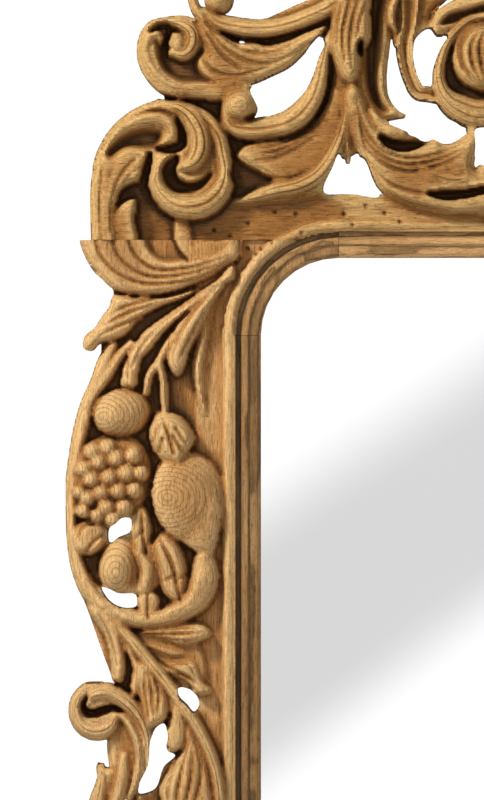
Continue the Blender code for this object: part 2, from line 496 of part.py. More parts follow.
def draw_falling_leaves(sheet):
    """The leaves below the nest, the stem that falls to the stile's middle, and the lower hook."""
    stroke, mass = sheet.stroke, sheet.mass
    mass([(150, 622), (200, 620), (230, 640), (230, 870), (208, 868), (200, 740), (170, 690),
          (130, 650)], 24, 5, 3)
    mass([(128, 640), (150, 634), (196, 640), (204, 682), (178, 686), (150, 662)], 33, 6, 4)
    for root, tip in (((134, 634), (212, 634)), ((140, 650), (212, 691))):
        mid = ((root[0] + tip[0]) / 2, (root[1] + tip[1]) / 2)
        tilt = (tip[1] - root[1]) * 0.15
        upper = [(mid[0] - 8, mid[1] - 8 - tilt * 0.3), (mid[0] + 18, mid[1] - 11 + tilt * 0.3)]
        end = [(tip[0] - 8, tip[1] - 9), tip, (tip[0] - 12, tip[1] + 8 - tilt * 0.4)]
        lower = [(mid[0] + 10, mid[1] + 12 - tilt * 0.2), (mid[0] - 12, mid[1] + 5)]
        mass([root] + upper + end + lower, 44, 8, 10)
    mass([(140, 642), (158, 643), (176, 648), (186, 654), (176, 658), (156, 652)], 38, 5, 6)
    mass([(90, 606), (104, 606), (121, 624), (124, 645), (126, 668), (120, 684), (114, 682), (111, 664),
          (106, 640)], 42, 8, 9)
    mass([(118, 628), (130, 640), (140, 664), (142, 686), (133, 701), (130, 688), (132, 668),
          (124, 648)], 44, 7, 9)
    mass([(140, 660), (150, 660), (163, 682), (170, 700), (166, 720), (156, 726), (150, 730),
          (142, 718), (139, 700)], 50, 10, 12)
    mass([(168, 692), (182, 706), (188, 730), (183, 748), (170, 752), (167, 738), (170, 712)], 46, 8, 9)
    mass([(186, 722), (204, 750), (212, 780), (214, 812), (186, 830), (164, 826), (162, 806),
          (160, 790), (172, 766), (182, 748)], 46, 10, 10)
    stroke([(108, 616, 6, 40), (128, 636, 7, 46), (150, 662, 7.5, 50), (176, 695, 7.5, 50),
            (198, 728, 7, 49), (214, 764, 7, 47), (220, 800, 7, 44), (222, 880, 7, 42)], moat=2.2)
    mass([(118, 700), (134, 704), (147, 720), (150, 742), (144, 770), (136, 794), (122, 800),
          (110, 770), (108, 730)], 36, 8, 9)
    stroke([(112, 714, 3, 42), (122, 716, 5, 46), (134, 732, 6, 47), (140, 756, 6, 46),
            (136, 780, 5, 44), (130, 796, 4, 42)], moat=2)
    mass([(98, 764), (106, 769), (113, 768), (119, 782), (116, 804), (104, 832), (86, 832), (91, 800),
          (97, 785)], 36, 6, 5)
    mass([(76, 694), (90, 688), (112, 698), (119, 712), (112, 726), (96, 731), (82, 724), (75, 708)],
         43, 9, 7)
    stroke([(140, 798, 4, 38), (146, 774, 4.5, 41), (148, 750, 5, 44), (145, 730, 7, 46),
            (136, 712, 9, 49), (122, 699, 9, 51), (104, 692, 8, 51), (91, 696, 6, 49), (87, 706, 4, 46),
            (92, 710, 2, 43)], moat=1.8)
    stroke([(100, 686, 3, 40), (86, 689, 5, 43), (77, 700, 6.5, 45), (76, 716, 7, 46), (84, 728, 8, 47),
            (98, 732, 9, 47), (111, 726, 8, 46), (116, 718, 4, 43)], peak=-0.2, moat=1.8)
    sheet.scoop([(87, 697, 2, 28), (83, 706, 3.4, 18), (90, 714, 4.4, 12), (102, 711, 4.4, 13),
                 (112, 708, 3.6, 16), (121, 711, 2, 26)])
    stroke([(124, 757, 6, 44), (122, 780, 8, 45), (116, 802, 8, 44), (114, 828, 7, 42)], moat=1.5)
    stroke([(102, 768, 2, 36), (101, 785, 6, 41), (97, 806, 9, 42), (98, 832, 9, 42),
            (108, 860, 9, 41)], moat=1.5)


def stile_openings():
    """The outlines that are cut right through the stile."""
    return (
        ((122, 518), (130, 518), (130, 532), (118, 538), (110, 544), (110, 527), (115, 524)),
        ((101, 587), (108, 588), (118, 593), (136, 595), (136, 607), (126, 609), (112, 604),
         (105, 597)),
        ((178, 688), (188, 689), (196, 695), (199, 707), (194, 713.5), (187, 706), (178, 696)),
        ((157, 727), (163, 723.5), (168, 734), (167, 750), (175, 756), (164, 768), (153, 792),
         (138, 795), (139, 785), (147, 767), (150.5, 740)),
        ((150, 812), (160, 808), (160, 900), (140, 900), (138, 840)),
    )


def draw_apron(sheet):
    """The plainer bottom rail, drawn the other way up: a corner, running leaves and a low shell."""
    sheet.slab((322, 168), (620, 262), 22)
    draw_corner(sheet)
    stroke = sheet.stroke
    stroke([(342, 120, 5, 38), (352, 140, 9, 42), (372, 156, 11, 44), (404, 166, 11, 45),
            (436, 164, 9, 44), (452, 150, 7, 42), (446, 138, 5, 40)])
    stroke([(372, 178, 7, 38), (404, 190, 9, 41), (440, 194, 9, 42), (474, 186, 9, 43),
            (500, 168, 8, 43), (512, 150, 7, 42)])
    stroke([(440, 176, 6, 38), (468, 164, 9, 42), (486, 144, 8, 42), (486, 126, 5, 40)])
    for across, rise, wide in SHELL_LOBES:
        stroke([(SHEET_CENTRE - across * 0.15, 190, 5, 42),
                (SHEET_CENTRE - across * 0.6, 190 - rise * 0.5, wide * 0.8, 46),
                (SHEET_CENTRE - across, 190 - rise * 0.85, wide, 48),
                (SHEET_CENTRE - across, 196 - rise, wide * 0.6, 46)])
    sheet.ball(SHEET_CENTRE, 190, 15, 15, 52)


def draw_bead(sheet):
    """The bead that runs beside the liner and turns round the sight's corner."""
    radius = (SIGHT_RADIUS + LINER_WIDTH) * 1000 + 6
    centre = (SHEET_SIGHT_SIDE + SIGHT_RADIUS * 1000, SHEET_SIGHT_TOP + SIGHT_RADIUS * 1000)
    angles = np.linspace(0, np.pi / 2, 8)
    turn = [(centre[0] - radius * np.sin(t), centre[1] - radius * np.cos(t), 6, 35) for t in angles]
    level, upright = turn[0][1], turn[-1][0]
    start = [(620, level, 4, 31), (450, level, 4, 31), (centre[0] + 14, level, 5.5, 34)]
    finish = [(upright, centre[1] + 14, 6, 35), (upright, 900, 6, 35)]
    sheet.stroke(start + turn + finish, edge=0.84, moat=1, sink=2)


# Boards

def front_height(sheet):
    """The carving's height carried a little past its outline, so that the rim has a full edge."""
    height = sheet.height
    solid = sheet.field > 0
    for turn in range(2):
        known = np.where(solid, height, 0.0)
        near = np.maximum.reduce([np.roll(known, way, axis) for axis in (0, 1) for way in (-1, 1)])
        height = np.where(solid, height, near)
        solid = height > 0
    return np.maximum(height, THINNEST)


def settled(u, v, field):
    """The board's kept cells, and the shift that brings its rim onto the outline."""
    middle = (field[1:, 1:] + field[:-1, 1:] + field[1:, :-1] + field[:-1, :-1]) / 4
    keep = largest_patch(middle > 0)
    slope_u, slope_v = np.gradient(field, u, v)
    steep = np.maximum(slope_u**2 + slope_v**2, 0.25)
    reach = 0.45 * (u[1] - u[0])
    move_u = np.clip(-field * slope_u / steep, -reach, reach)
    move_v = np.clip(-field * slope_v / steep, -reach, reach)
    padded = np.pad(keep, 1).astype(int)
    corners = padded[1:, 1:] + padded[:-1, 1:] + padded[1:, :-1] + padded[:-1, :-1]
    side = np.zeros(corners.shape, bool)
    side[[0, -1], :] = True
    side[:, [0, -1]] = True
    rim = (corners > 0) & (corners < 4) & ~(side & (field > reach))
    move_u[[0, -1], :] = 0
    move_v[:, [0, -1]] = 0
    return keep, np.where(rim, move_u, 0), np.where(rim, move_v, 0)


def board_mesh(name, sheet, place, open_axis, flip=False):
    """Cuts a grid to the outline, lifts its front to the carving, and closes it but at the mirror plane."""
    u, v = sheet.u[::2], sheet.v[::2]
    height = front_height(sheet)[::2, ::2]
    keep, move_u, move_v = settled(u, v, sheet.field[::2, ::2])

    mesh = bpy.data.meshes.new(name)
    bm = bmesh.new()
    bmesh.ops.create_grid(bm, x_segments=len(u) - 1, y_segments=len(v) - 1, size=1.0)
    spots = {}
    for vert in bm.verts:
        i = int(round((vert.co.x + 1) / 2 * (len(u) - 1)))
        j = int(round((vert.co.y + 1) / 2 * (len(v) - 1)))
        spots[vert] = (i, j)
    lost = []
    for face in bm.faces:
        i = min(spots[vert][0] for vert in face.verts)
        j = min(spots[vert][1] for vert in face.verts)
        if not keep[i, j]:
            lost.append(face)
    for vert, (i, j) in spots.items():
        x, z = place(u[i] + move_u[i, j], v[j] + move_v[i, j])
        vert.co = Vector((x, 0.0, z))
    heights = {tuple(round(c, 6) for c in vert.co): height[spots[vert]] / 1000 for vert in bm.verts}
    bmesh.ops.delete(bm, geom=lost, context="FACES")
    raised = bmesh.ops.extrude_face_region(bm, geom=bm.faces[:], use_keep_orig=True)["geom"]
    for vert in (item for item in raised if isinstance(item, bmesh.types.BMVert)):
        vert.co.y = -heights[tuple(round(c, 6) for c in vert.co)]
    at_plane = [face for face in bm.faces if all(abs(vert.co[open_axis]) < 1e-6 for vert in face.verts)]
    bmesh.ops.delete(bm, geom=at_plane, context="FACES")
    bmesh.ops.recalc_face_normals(bm, faces=bm.faces[:])
    if flip:
        bmesh.ops.transform(bm, matrix=Matrix.Diagonal((-1, 1, 1, 1)), verts=bm.verts[:])
        bmesh.ops.reverse_faces(bm, faces=bm.faces[:])
    settle_order(bm)
    bm.to_mesh(mesh)
    bm.free()
    return mesh


def settle_order(bm):
    """Numbers the vertices, edges and faces by their places, so that each run thins them out alike."""
    for index, vert in enumerate(sorted(bm.verts, key=lambda vert: tuple(round(c, 6) for c in vert.co))):
        vert.index = index
    bm.verts.sort()

    def by_verts(item):
        return sorted(vert.index for vert in item.verts)

    for items in (bm.edges, bm.faces):
        for index, item in enumerate(sorted(items, key=by_verts)):
            item.index = index
        items.sort()


def largest_patch(keep):
    """The largest run of cells joined side to side, with no two cells that meet at a corner alone."""
    keep = keep.copy()
    for turn in range(12):
        a, b, c, d = keep[:-1, :-1], keep[1:, 1:], keep[1:, :-1], keep[:-1, 1:]
        falling = a & b & ~c & ~d
        rising = c & d & ~a & ~b
        if not (falling.any() or rising.any()):
            break
        keep[1:, :-1] |= falling
        keep[:-1, :-1] |= rising
    label = np.zeros(keep.shape, int)
    best, count, size = 0, 0, 0
    for start in zip(*np.nonzero(keep)):
        if label[start]:
            continue
        count += 1
        label[start] = count
        queue = [start]
        for i, j in queue:
            for near in ((i + 1, j), (i - 1, j), (i, j + 1), (i, j - 1)):
                inside = 0 <= near[0] < keep.shape[0] and 0 <= near[1] < keep.shape[1]
                if inside and keep[near] and not label[near]:
                    label[near] = count
                    queue.append(near)
        if len(queue) > size:
            best, size = count, len(queue)
    return label == best


def crest_place(u, v):
    """A crest point of the sheet in the object's x and z."""
    return (u - SHEET_CENTRE) / 1000 * crest_stretch, SIGHT_TOP + (SHEET_SIGHT_TOP - v) / 1000


def stile_place(u, v):
    """A stile point of the sheet: x from the sight's side, z as a share of the stile's length."""
    x = (u - SHEET_SIGHT_SIDE) / 1000 - half_width
    return x, middle_height + (SHEET_MIDDLE - v) / 1000 * stile_stretch


# Materials, pieces and cutters

def material(name):
    """A Principled material in one of the frame's colours."""
    colour, roughness, metallic = COLOURS[name]
    made = bpy.data.materials.new(name)
    made.use_nodes = True
    shader = made.node_tree.nodes["Principled BSDF"]
    shader.inputs["Base Color"].default_value = (*colour, 1.0)
    shader.inputs["Roughness"].default_value = roughness
    shader.inputs["Metallic"].default_value = metallic
    return made


def add_piece(name, mesh, finish, group, place=(0, 0, 0)):
    """Puts a mesh in the scene as a named piece with its material."""
    piece = bpy.data.objects.new(name, mesh)
    piece.location = place
    mesh.materials.clear()
    mesh.materials.append(finish)
    group.objects.link(piece)
    return piece


def box_mesh(name, low, high):
    """A block between two corners."""
    mesh = bpy.data.meshes.new(name)
    bm = bmesh.new()
    bmesh.ops.create_cube(bm, size=1.0)
    middle = (Vector(low) + Vector(high)) / 2
    size = Vector(high) - Vector(low)
    for vert in bm.verts:
        vert.co = Vector((vert.co.x * size.x, vert.co.y * size.y, vert.co.z * size.z)) + middle
    bm.to_mesh(mesh)
    bm.free()
    return mesh


def cutter(name, mesh, group):
    """A wire-drawn tool that only takes wood away."""
    tool = bpy.data.objects.new(name, mesh)
    tool.hide_render = True
    tool.display_type = "WIRE"
    group.objects.link(tool)
    return tool


def cut(piece, tool):
    """Takes a tool's shape out of a piece."""
    step = piece.modifiers.new("cut_" + tool.name, "BOOLEAN")
    step.operation = "DIFFERENCE"
    step.solver = "EXACT"
    step.object = tool


def thin_out(piece, share, both_sides=False):
    """Keeps a share of the carving's faces, most where it bends."""
    step = piece.modifiers.new("thin_out", "DECIMATE")
    step.ratio = share
    step.use_collapse_triangulate = True
    step.use_symmetry = both_sides
    step.symmetry_axis = "X"


def mirror(piece, axis):
    """Completes a half that is open at its plane."""
    step = piece.modifiers.new("mirror", "MIRROR")
    step.use_axis = [axis == "X", axis == "Y", axis == "Z"]
    step.merge_threshold = 0.0001


def opening_mesh():
    """The boards' opening with its rounded corners, as a block that passes through them."""
    reach = (half_width + LINER_WIDTH, SIGHT_HEIGHT / 2 + LINER_WIDTH)
    radius = SIGHT_RADIUS + LINER_WIDTH
    low = (-reach[0], -TOOL_REACH, middle_height - reach[1])
    high = (reach[0], TOOL_REACH, middle_height + reach[1])
    mesh = box_mesh("sight_opening", low, high)
    bm = bmesh.new()
    bm.from_mesh(mesh)
    posts = [edge for edge in bm.edges if abs(edge.verts[0].co.y - edge.verts[1].co.y) > TOOL_REACH]
    bmesh.ops.bevel(bm, geom=posts, offset=radius, segments=CORNER_STEPS, profile=0.5, affect="EDGES")
    bm.to_mesh(mesh)
    bm.free()
    return mesh


def liner_section(bm, place):
    """The moulding's closed section, each point put in space by place(distance in, height)."""
    back = LINER_BACK + GAP
    points = list(LINER_PROFILE) + [(LINER_WIDTH, back), (0.0, back)]
    points[0] = (GAP, points[0][1])
    points[-1] = (GAP, back)
    return bm.faces.new([bm.verts.new(place(inward, height)) for inward, height in points])


def liner_strip(name, middle, along, outward, length):
    """A straight run of liner moulding."""
    mesh = bpy.data.meshes.new(name)
    bm = bmesh.new()
    start = Vector(middle) - Vector(along) * (length / 2)

    def place(inward, height):
        return start + Vector(outward) * (LINER_WIDTH - inward) + Vector((0, -height, 0))

    face = liner_section(bm, place)
    moved = bmesh.ops.extrude_face_region(bm, geom=[face], use_keep_orig=True)["geom"]
    verts = [item for item in moved if isinstance(item, bmesh.types.BMVert)]
    bmesh.ops.translate(bm, verts=verts, vec=Vector(along) * length)
    bmesh.ops.recalc_face_normals(bm, faces=bm.faces[:])
    bm.to_mesh(mesh)
    bm.free()
    return mesh


def liner_corner(name, side, rise):
    """A corner block of the liner: the moulding turned through a quarter circle."""
    mesh = bpy.data.meshes.new(name)
    bm = bmesh.new()
    centre_height = middle_height + rise * (SIGHT_HEIGHT / 2 - SIGHT_RADIUS)
    centre = Vector((side * (half_width - SIGHT_RADIUS), 0, centre_height))
    radius = SIGHT_RADIUS + LINER_WIDTH
    slip = GAP / radius

    def place(inward, height):
        reach = radius - inward
        return centre + Vector((side * reach * np.cos(slip), -height, rise * reach * np.sin(slip)))

    face = liner_section(bm, place)
    outline = list(face.edges) + list(face.verts) + [face]
    turn = (np.pi / 2 - 2 * slip) * (-side * rise)
    bmesh.ops.spin(bm, geom=outline, cent=centre, axis=(0, 1, 0), angle=turn, steps=CORNER_STEPS)
    ends = [f for f in bm.faces if len(f.verts) == len(LINER_PROFILE) + 2]
    if len(ends) == 1:
        holes = [edge for edge in bm.edges if len(edge.link_faces) == 1]
        bmesh.ops.holes_fill(bm, edges=holes)
    bmesh.ops.recalc_face_normals(bm, faces=bm.faces[:])
    bm.to_mesh(mesh)
    bm.free()
    return mesh


def build():
    """Makes the whole frame."""
    for old in list(bpy.data.objects):
        bpy.data.objects.remove(old, do_unlink=True)
    pieces = bpy.data.collections.new("carved_wall_mirror")
    tools = bpy.data.collections.new("cutters")
    bpy.context.scene.collection.children.link(pieces)
    bpy.context.scene.collection.children.link(tools)
    finish = {name: material(name) for name in COLOURS}

    opening = cutter("sight_opening", opening_mesh(), tools)
    reach = half_width + LINER_WIDTH + REBATE_WIDTH
    rise = SIGHT_HEIGHT / 2 + LINER_WIDTH + REBATE_WIDTH
    low = (-reach, -REBATE_DEPTH, middle_height - rise)
    high = (reach, TOOL_REACH, middle_height + rise)
    rebate = cutter("glass_rebate", box_mesh("glass_rebate", low, high), tools)

    crest = Sheet((SHEET_LEFT, CREST_PEAK), (SHEET_CENTRE, SHEET_SEAM - seam_gap))
    draw_crest(crest)
    draw_bead(crest)
    for points in crest_openings():
        crest.pierce(points)
    mesh = board_mesh("crest", crest, crest_place, 0)
    piece = add_piece("crest", mesh, finish["carved_wood"], pieces)
    mirror(piece, "X")
    thin_out(piece, CREST_SHARE, both_sides=True)
    cut(piece, opening)
    cut(piece, rebate)

    apron = Sheet((SHEET_LEFT, APRON_PEAK), (SHEET_CENTRE, SHEET_SEAM - seam_gap))
    draw_apron(apron)
    draw_bead(apron)

    def apron_place(u, v):
        x, z = crest_place(u, v)
        return x, 2 * middle_height - z

    mesh = board_mesh("bottom_rail", apron, apron_place, 0)
    piece = add_piece("bottom_rail", mesh, finish["carved_wood"], pieces)
    mirror(piece, "X")
    thin_out(piece, RAIL_SHARE, both_sides=True)
    cut(piece, opening)
    cut(piece, rebate)

    stile = Sheet((SHEET_LEFT, SHEET_SEAM + seam_gap), (STILE_EDGE, SHEET_MIDDLE))
    draw_stile(stile)
    draw_bead(stile)
    for points in stile_openings():
        stile.pierce(points)

    def stile_own(u, v):
        x, z = stile_place(u, v)
        return x, z - middle_height

    for name, flip in (("stile_left", False), ("stile_right", True)):
        mesh = board_mesh(name, stile, stile_own, 2, flip)
        piece = add_piece(name, mesh, finish["carved_wood"], pieces, (0, 0, middle_height))
        mirror(piece, "Z")
        thin_out(piece, STILE_SHARE)
        cut(piece, opening)
        cut(piece, rebate)

    run = (SIGHT_WIDTH - 2 * SIGHT_RADIUS - GAP, SIGHT_HEIGHT - 2 * SIGHT_RADIUS - GAP)
    strips = (
        ("liner_top", (0, 0, SIGHT_TOP), (1, 0, 0), (0, 0, 1), run[0]),
        ("liner_bottom", (0, 0, SIGHT_TOP - SIGHT_HEIGHT), (1, 0, 0), (0, 0, -1), run[0]),
        ("liner_left", (-half_width, 0, middle_height), (0, 0, 1), (-1, 0, 0), run[1]),
        ("liner_right", (half_width, 0, middle_height), (0, 0, 1), (1, 0, 0), run[1]),
    )
    for name, middle, along, outward, length in strips:
        add_piece(name, liner_strip(name, middle, along, outward, length), finish["liner_wood"], pieces)
    for rise_name, up in (("top", 1), ("bottom", -1)):
        for side_name, side in (("left", -1), ("right", 1)):
            name = "liner_corner_" + rise_name + "_" + side_name
            add_piece(name, liner_corner(name, side, up), finish["liner_wood"], pieces)

    play = 2 * GAP
    front = REBATE_DEPTH - GAP
    low = (-reach + play, -front, middle_height - rise + play)
    high = (reach - play, -front + GLASS_THICKNESS, middle_height + rise - play)
    add_piece("mirror_glass", box_mesh("mirror_glass", low, high), finish["mirror_silver"], pieces)
    low = (low[0], high[1] + GAP, low[2])
    high = (high[0], high[1] + GAP + BACKING_THICKNESS, high[2])
    add_piece("backing_board", box_mesh("backing_board", low, high), finish["backing"], pieces)


build()
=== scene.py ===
"""The carved wall mirror's finished surfaces, as an add-on whose operators make one group of pieces each.

The carving is drawn on a sheet in millimetres, u to the right and v down, as strokes of a gouge.
Each stroke is a short run of (u, v, half width, height above the wall), with grooves cut along it.
"""

import bmesh
import bpy
import numpy as np
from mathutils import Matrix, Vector


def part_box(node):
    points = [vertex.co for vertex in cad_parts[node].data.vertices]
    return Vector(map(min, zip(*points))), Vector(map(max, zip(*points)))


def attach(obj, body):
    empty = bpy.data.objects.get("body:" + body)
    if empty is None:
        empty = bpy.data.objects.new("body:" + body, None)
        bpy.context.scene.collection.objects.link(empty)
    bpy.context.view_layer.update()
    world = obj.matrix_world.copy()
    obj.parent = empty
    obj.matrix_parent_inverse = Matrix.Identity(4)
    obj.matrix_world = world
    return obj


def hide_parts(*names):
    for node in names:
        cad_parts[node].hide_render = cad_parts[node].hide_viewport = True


bl_info = {
    "name": "Carved wall mirror",
    "version": (1, 0, 0),
    "blender": (4, 5, 0),
    "location": "3D View > Sidebar > Mirror",
    "description": "Carves the frame's boards, finishes its liner and glass, and sets up a studio round it",
    "category": "Add Mesh",
}

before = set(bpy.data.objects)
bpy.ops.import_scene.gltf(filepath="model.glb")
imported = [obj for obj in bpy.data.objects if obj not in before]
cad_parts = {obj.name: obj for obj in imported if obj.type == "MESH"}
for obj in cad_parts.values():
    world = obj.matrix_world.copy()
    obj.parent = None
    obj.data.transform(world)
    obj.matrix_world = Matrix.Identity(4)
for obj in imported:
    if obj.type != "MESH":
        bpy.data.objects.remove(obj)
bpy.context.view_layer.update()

# The drawing sheet, in millimetres: where the object's axes, edges and rebate lie on it
SHEET_CENTRE = 560.0
SHEET_SIGHT_SIDE = 261.0
SHEET_SIGHT_TOP = 257.0
SHEET_SEAM = 240.0
SHEET_MIDDLE = 852.0
SHEET_LEFT = 60.0
CREST_PEAK = -148.0
APRON_PEAK = 60.0
STILE_EDGE = 304.0
SIGHT_RADIUS = 78.0
LINER_WIDTH = 26.0
REBATE_SIDE = 227.0
REBATE_TOP = 223.0
REBATE_DEPTH = 14.0
SEAM_GAP = 0.15
THINNEST = 8.0

# How far the boards reach under the liner, at its corners and along its runs, in millimetres
ARC_TUCK = 1.2
EDGE_TUCK = 0.6

# Spacing of the rows along strokes and outlines, the outlines' margin, and the points measured at once
STROKE_STEP = 1.5
OUTLINE_STEP = 2.5
OUTLINE_MARGIN = 25.0
BATCH = 20000

WORM_HOLES = ((248, 223), (302, 233), (385, 213), (400, 222), (214, 230), (230, 236), (275, 212), (248, 248),
              (261, 249), (272, 243), (256, 254), (242, 330), (353, 225), (236, 262), (366, 206), (344, 214),
              (296, 214))

# The mark that a board's back carries, which paints its sides darker towards the back as painted shade, how
# close its halves are joined, and the angle of a sharp edge
BACK_MARK = 0.3
MERGE_REACH = 1e-6
SHARP_ANGLE = np.radians(50)

# Width over which the glass's painted shade under the liner fades in, in metres
GLASS_FADE = 0.0005

# What the picture shows, in sheet millimetres, and the studio's sizes, in metres
PICTURE = (484, 800)
BACKDROP_DEPTH = 18.0
BACKDROP_HALF = 3.0
FLOOR_DROP = 0.4
CARD_DISTANCES = 4
CARD_SHARE = 0.46
FILM_HEIGHT = 24.0
CAMERA_REACH = 50.0

# Sizes that come from the solids, in metres
glass_low, glass_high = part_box("mirror_glass")
middle_height = (glass_low[2] + glass_high[2]) / 2
stile_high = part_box("stile_left")[1]
sight_top = stile_high[2] - (SHEET_SIGHT_TOP - SHEET_SEAM - SEAM_GAP) / 1000


# Carving engine

def spline(points, closed=False, step=STROKE_STEP):
    """Rows spaced by step on a smooth run through the given rows."""
    rows = np.array(points, float)
    if closed:
        rows = np.vstack([rows[-2:], rows, rows[:2]])
    gaps = np.maximum(np.hypot(*np.diff(rows[:, :2], axis=0).T), 1e-6)
    at = np.concatenate([[0.0], np.cumsum(gaps)])
    slopes = np.diff(rows, axis=0) / gaps[:, None]
    inner = slopes[1:] * gaps[:-1, None] + slopes[:-1] * gaps[1:, None]
    inner = inner / (gaps[1:] + gaps[:-1])[:, None]
    tangents = np.vstack([slopes[:1], inner, slopes[-1:]])
    low, high = (at[2], at[-2]) if closed else (at[0], at[-1])
    where = np.linspace(low, high, max(6, int((high - low) / step) + 1))
    i = np.clip(np.searchsorted(at, where, side="right") - 1, 0, len(gaps) - 1)
    g = gaps[i][:, None]
    x = (where - at[i])[:, None] / g
    start = (2 * x**3 - 3 * x**2 + 1) * rows[i] + (x**3 - 2 * x**2 + x) * g * tangents[i]
    end = (-2 * x**3 + 3 * x**2) * rows[i + 1] + (x**3 - x**2) * g * tangents[i + 1]
    return start + end


def ruled(stops, step):
    """Grid lines about step apart that pass through every stop."""
    lines = [np.array([stops[0]], float)]
    for low, high in zip(stops, stops[1:]):
        lines.append(np.linspace(low, high, max(1, int(round((high - low) / step))) + 1)[1:])
    return np.concatenate(lines)


class Sheet:
    """A board's face: its height above the wall and its outline field, positive inside, in millimetres."""

    def __init__(self, stops_u, stops_v, step):
        self.u = ruled(stops_u, step)
        self.v = ruled(stops_v, step)
        self.across, self.down = np.meshgrid(self.u, self.v, indexing="ij")
        self.height = np.zeros_like(self.across)
        self.field = np.full_like(self.across, -50.0)
        # Marks for the wood's colour: rib and ribbed place painted shade between ribs, cut paints shade in
        # grooves and holes, flat lightens level board, and ring places growth rings.
        self.rib, self.ribbed, self.cut, self.ring, self.flat = np.zeros((5, *self.across.shape))

    def window(self, low, high):
        """The part of the grid that lies between two corners."""
        a = np.searchsorted(self.u, [low[0], high[0]])
        b = np.searchsorted(self.v, [low[1], high[1]])
        return slice(a[0], a[1]), slice(b[0], b[1])

    def round_rows(self, rows, margin):
        """The part of the grid that covers rows with a margin."""
        return self.window(rows[:, :2].min(0) - margin, rows[:, :2].max(0) + margin)

    def wipe(self, w, where, *marks):
        """Clears marks where new wood covers them."""
        for mark in marks:
            mark[w] = np.where(where, 0.0, mark[w])

    def cut_moat(self, w, away, moat, sink):
        """Sinks what lies just outside a shape, by its distance away."""
        height = self.height[w]
        cut = np.maximum(np.minimum(height, THINNEST), height - sink * (1 - away / max(moat, 0.1)) ** 2)
        height[:] = np.where((away > 0) & (away < moat), cut, height)

    def stroke(self, points, shape="round", edge=0.6, peak=0.0, flutes=0, deep=2.0, moat=2.4, sink=4.5):
        """Lays one gouge stroke, cut in round its sides by a moat, with its back parted into ribs."""
        rows = spline(points)
        w = self.round_rows(rows, rows[:, 2].max() + moat + 4)
        if self.across[w].size == 0:
            return
        places = np.stack([self.across[w].ravel(), self.down[w].ravel()], 1)
        heading = np.gradient(rows[:, :2], axis=0)
        heading /= np.maximum(np.hypot(*heading.T), 1e-9)[:, None]
        width = np.maximum(rows[:, 2], 0.4)
        best = np.empty(len(places), int)
        for first in range(0, len(places), BATCH):
            part = slice(first, first + BATCH)
            du = places[part, 0, None] - rows[None, :, 0]
            dv = places[part, 1, None] - rows[None, :, 1]
            best[part] = np.argmin((du**2 + dv**2) / width[None] ** 2, 1)
        off = places - rows[best, :2]
        along = np.clip((off * heading[best]).sum(1), -1.0, 1.0)
        off = off - along[:, None] * heading[best]
        side = np.sign(heading[best, 0] * off[:, 1] - heading[best, 1] * off[:, 0])
        form = self.across[w].shape
        away = (np.hypot(*off.T) - width[best]).reshape(form)
        half = width[best].reshape(form)
        across = (side * np.hypot(*off.T)).reshape(form) / half
        crown = rows[best, 3].reshape(form)
        share = np.clip((best + along / STROKE_STEP) / (len(rows) - 1), 0, 1).reshape(form)
        height, field = self.height[w], self.field[w]
        self.cut_moat(w, away, moat, sink)
        q = np.where(across > peak, (across - peak) / (1 - peak), (peak - across) / (1 + peak))
        q = np.clip(np.abs(q), 0, 1)
        if shape == "round":
            rise = np.sqrt(1 - q**2)
        elif shape == "soft":
            rise = 0.5 + 0.5 * np.cos(np.pi * q)
        elif shape == "ridge":
            rise = 1 - q
        else:
            lip = np.sqrt(np.clip(1 - ((q - 0.8) / 0.2) ** 2, 0, 1))
            rise = np.where(q < 0.8, 0.15 + 0.85 * (q / 0.8) ** 2, lip)
        raised = crown * (edge + (1 - edge) * rise)
        fade = np.clip(np.sin(np.pi * share) * 2.5, 0, 1)
        run = (np.clip(across, -1, 1) + 1) / 2 * max(flutes, 1)
        if flutes:
            raised = raised - np.minimum(deep, 0.4 * half) * fade * np.abs(2 * (run % 1) - 1) ** 2.5
        on_top = (away <= 0) & (raised > height)
        # The rib marks let the wood paint shade between the ribs.
        self.rib[w] = np.where(on_top, run, self.rib[w])
        self.ribbed[w] = np.where(on_top, fade if flutes > 1 else 0.0, self.ribbed[w])
        self.wipe(w, on_top, self.flat, self.cut)
        height[:] = np.where(on_top, raised, height)
        field[:] = np.maximum(field, -away)

    def ball(self, u, v, a, b, crown, edge=0.5, turn=0.0, tilt=(0, 0), moat=2.4, sink=5.0, rings=None):
        """Lays a domed fruit or eye with half axes a and b, leaning with its tilt, ringed round a spot."""
        reach = max(a, b) + moat + 2
        w = self.window((u - reach, v - reach), (u + reach, v + reach))
        if self.across[w].size == 0:
            return
        c, s = np.cos(np.radians(turn)), np.sin(np.radians(turn))
        du, dv = self.across[w] - u, self.down[w] - v
        q = np.hypot((du * c + dv * s) / a, (-du * s + dv * c) / b)
        away = (q - 1) * min(a, b)
        height, field = self.height[w], self.field[w]
        self.cut_moat(w, away, moat, sink)
        dome = np.sqrt(np.clip(1 - q**2, 0, 1))
        raised = crown * (edge + (1 - edge) * dome) - du * tilt[0] - dv * tilt[1]
        if rings:
            from_spot = np.hypot((self.across[w] - rings[0]) / a, (self.down[w] - rings[1]) / b) * min(a, b)
            self.ring[w] = np.where(q <= 1, from_spot, self.ring[w])
        self.wipe(w, q <= 1, self.cut, self.flat, self.ribbed)
        height[:] = np.where(q <= 1, np.maximum(height, raised), height)
        field[:] = np.maximum(field, -away)

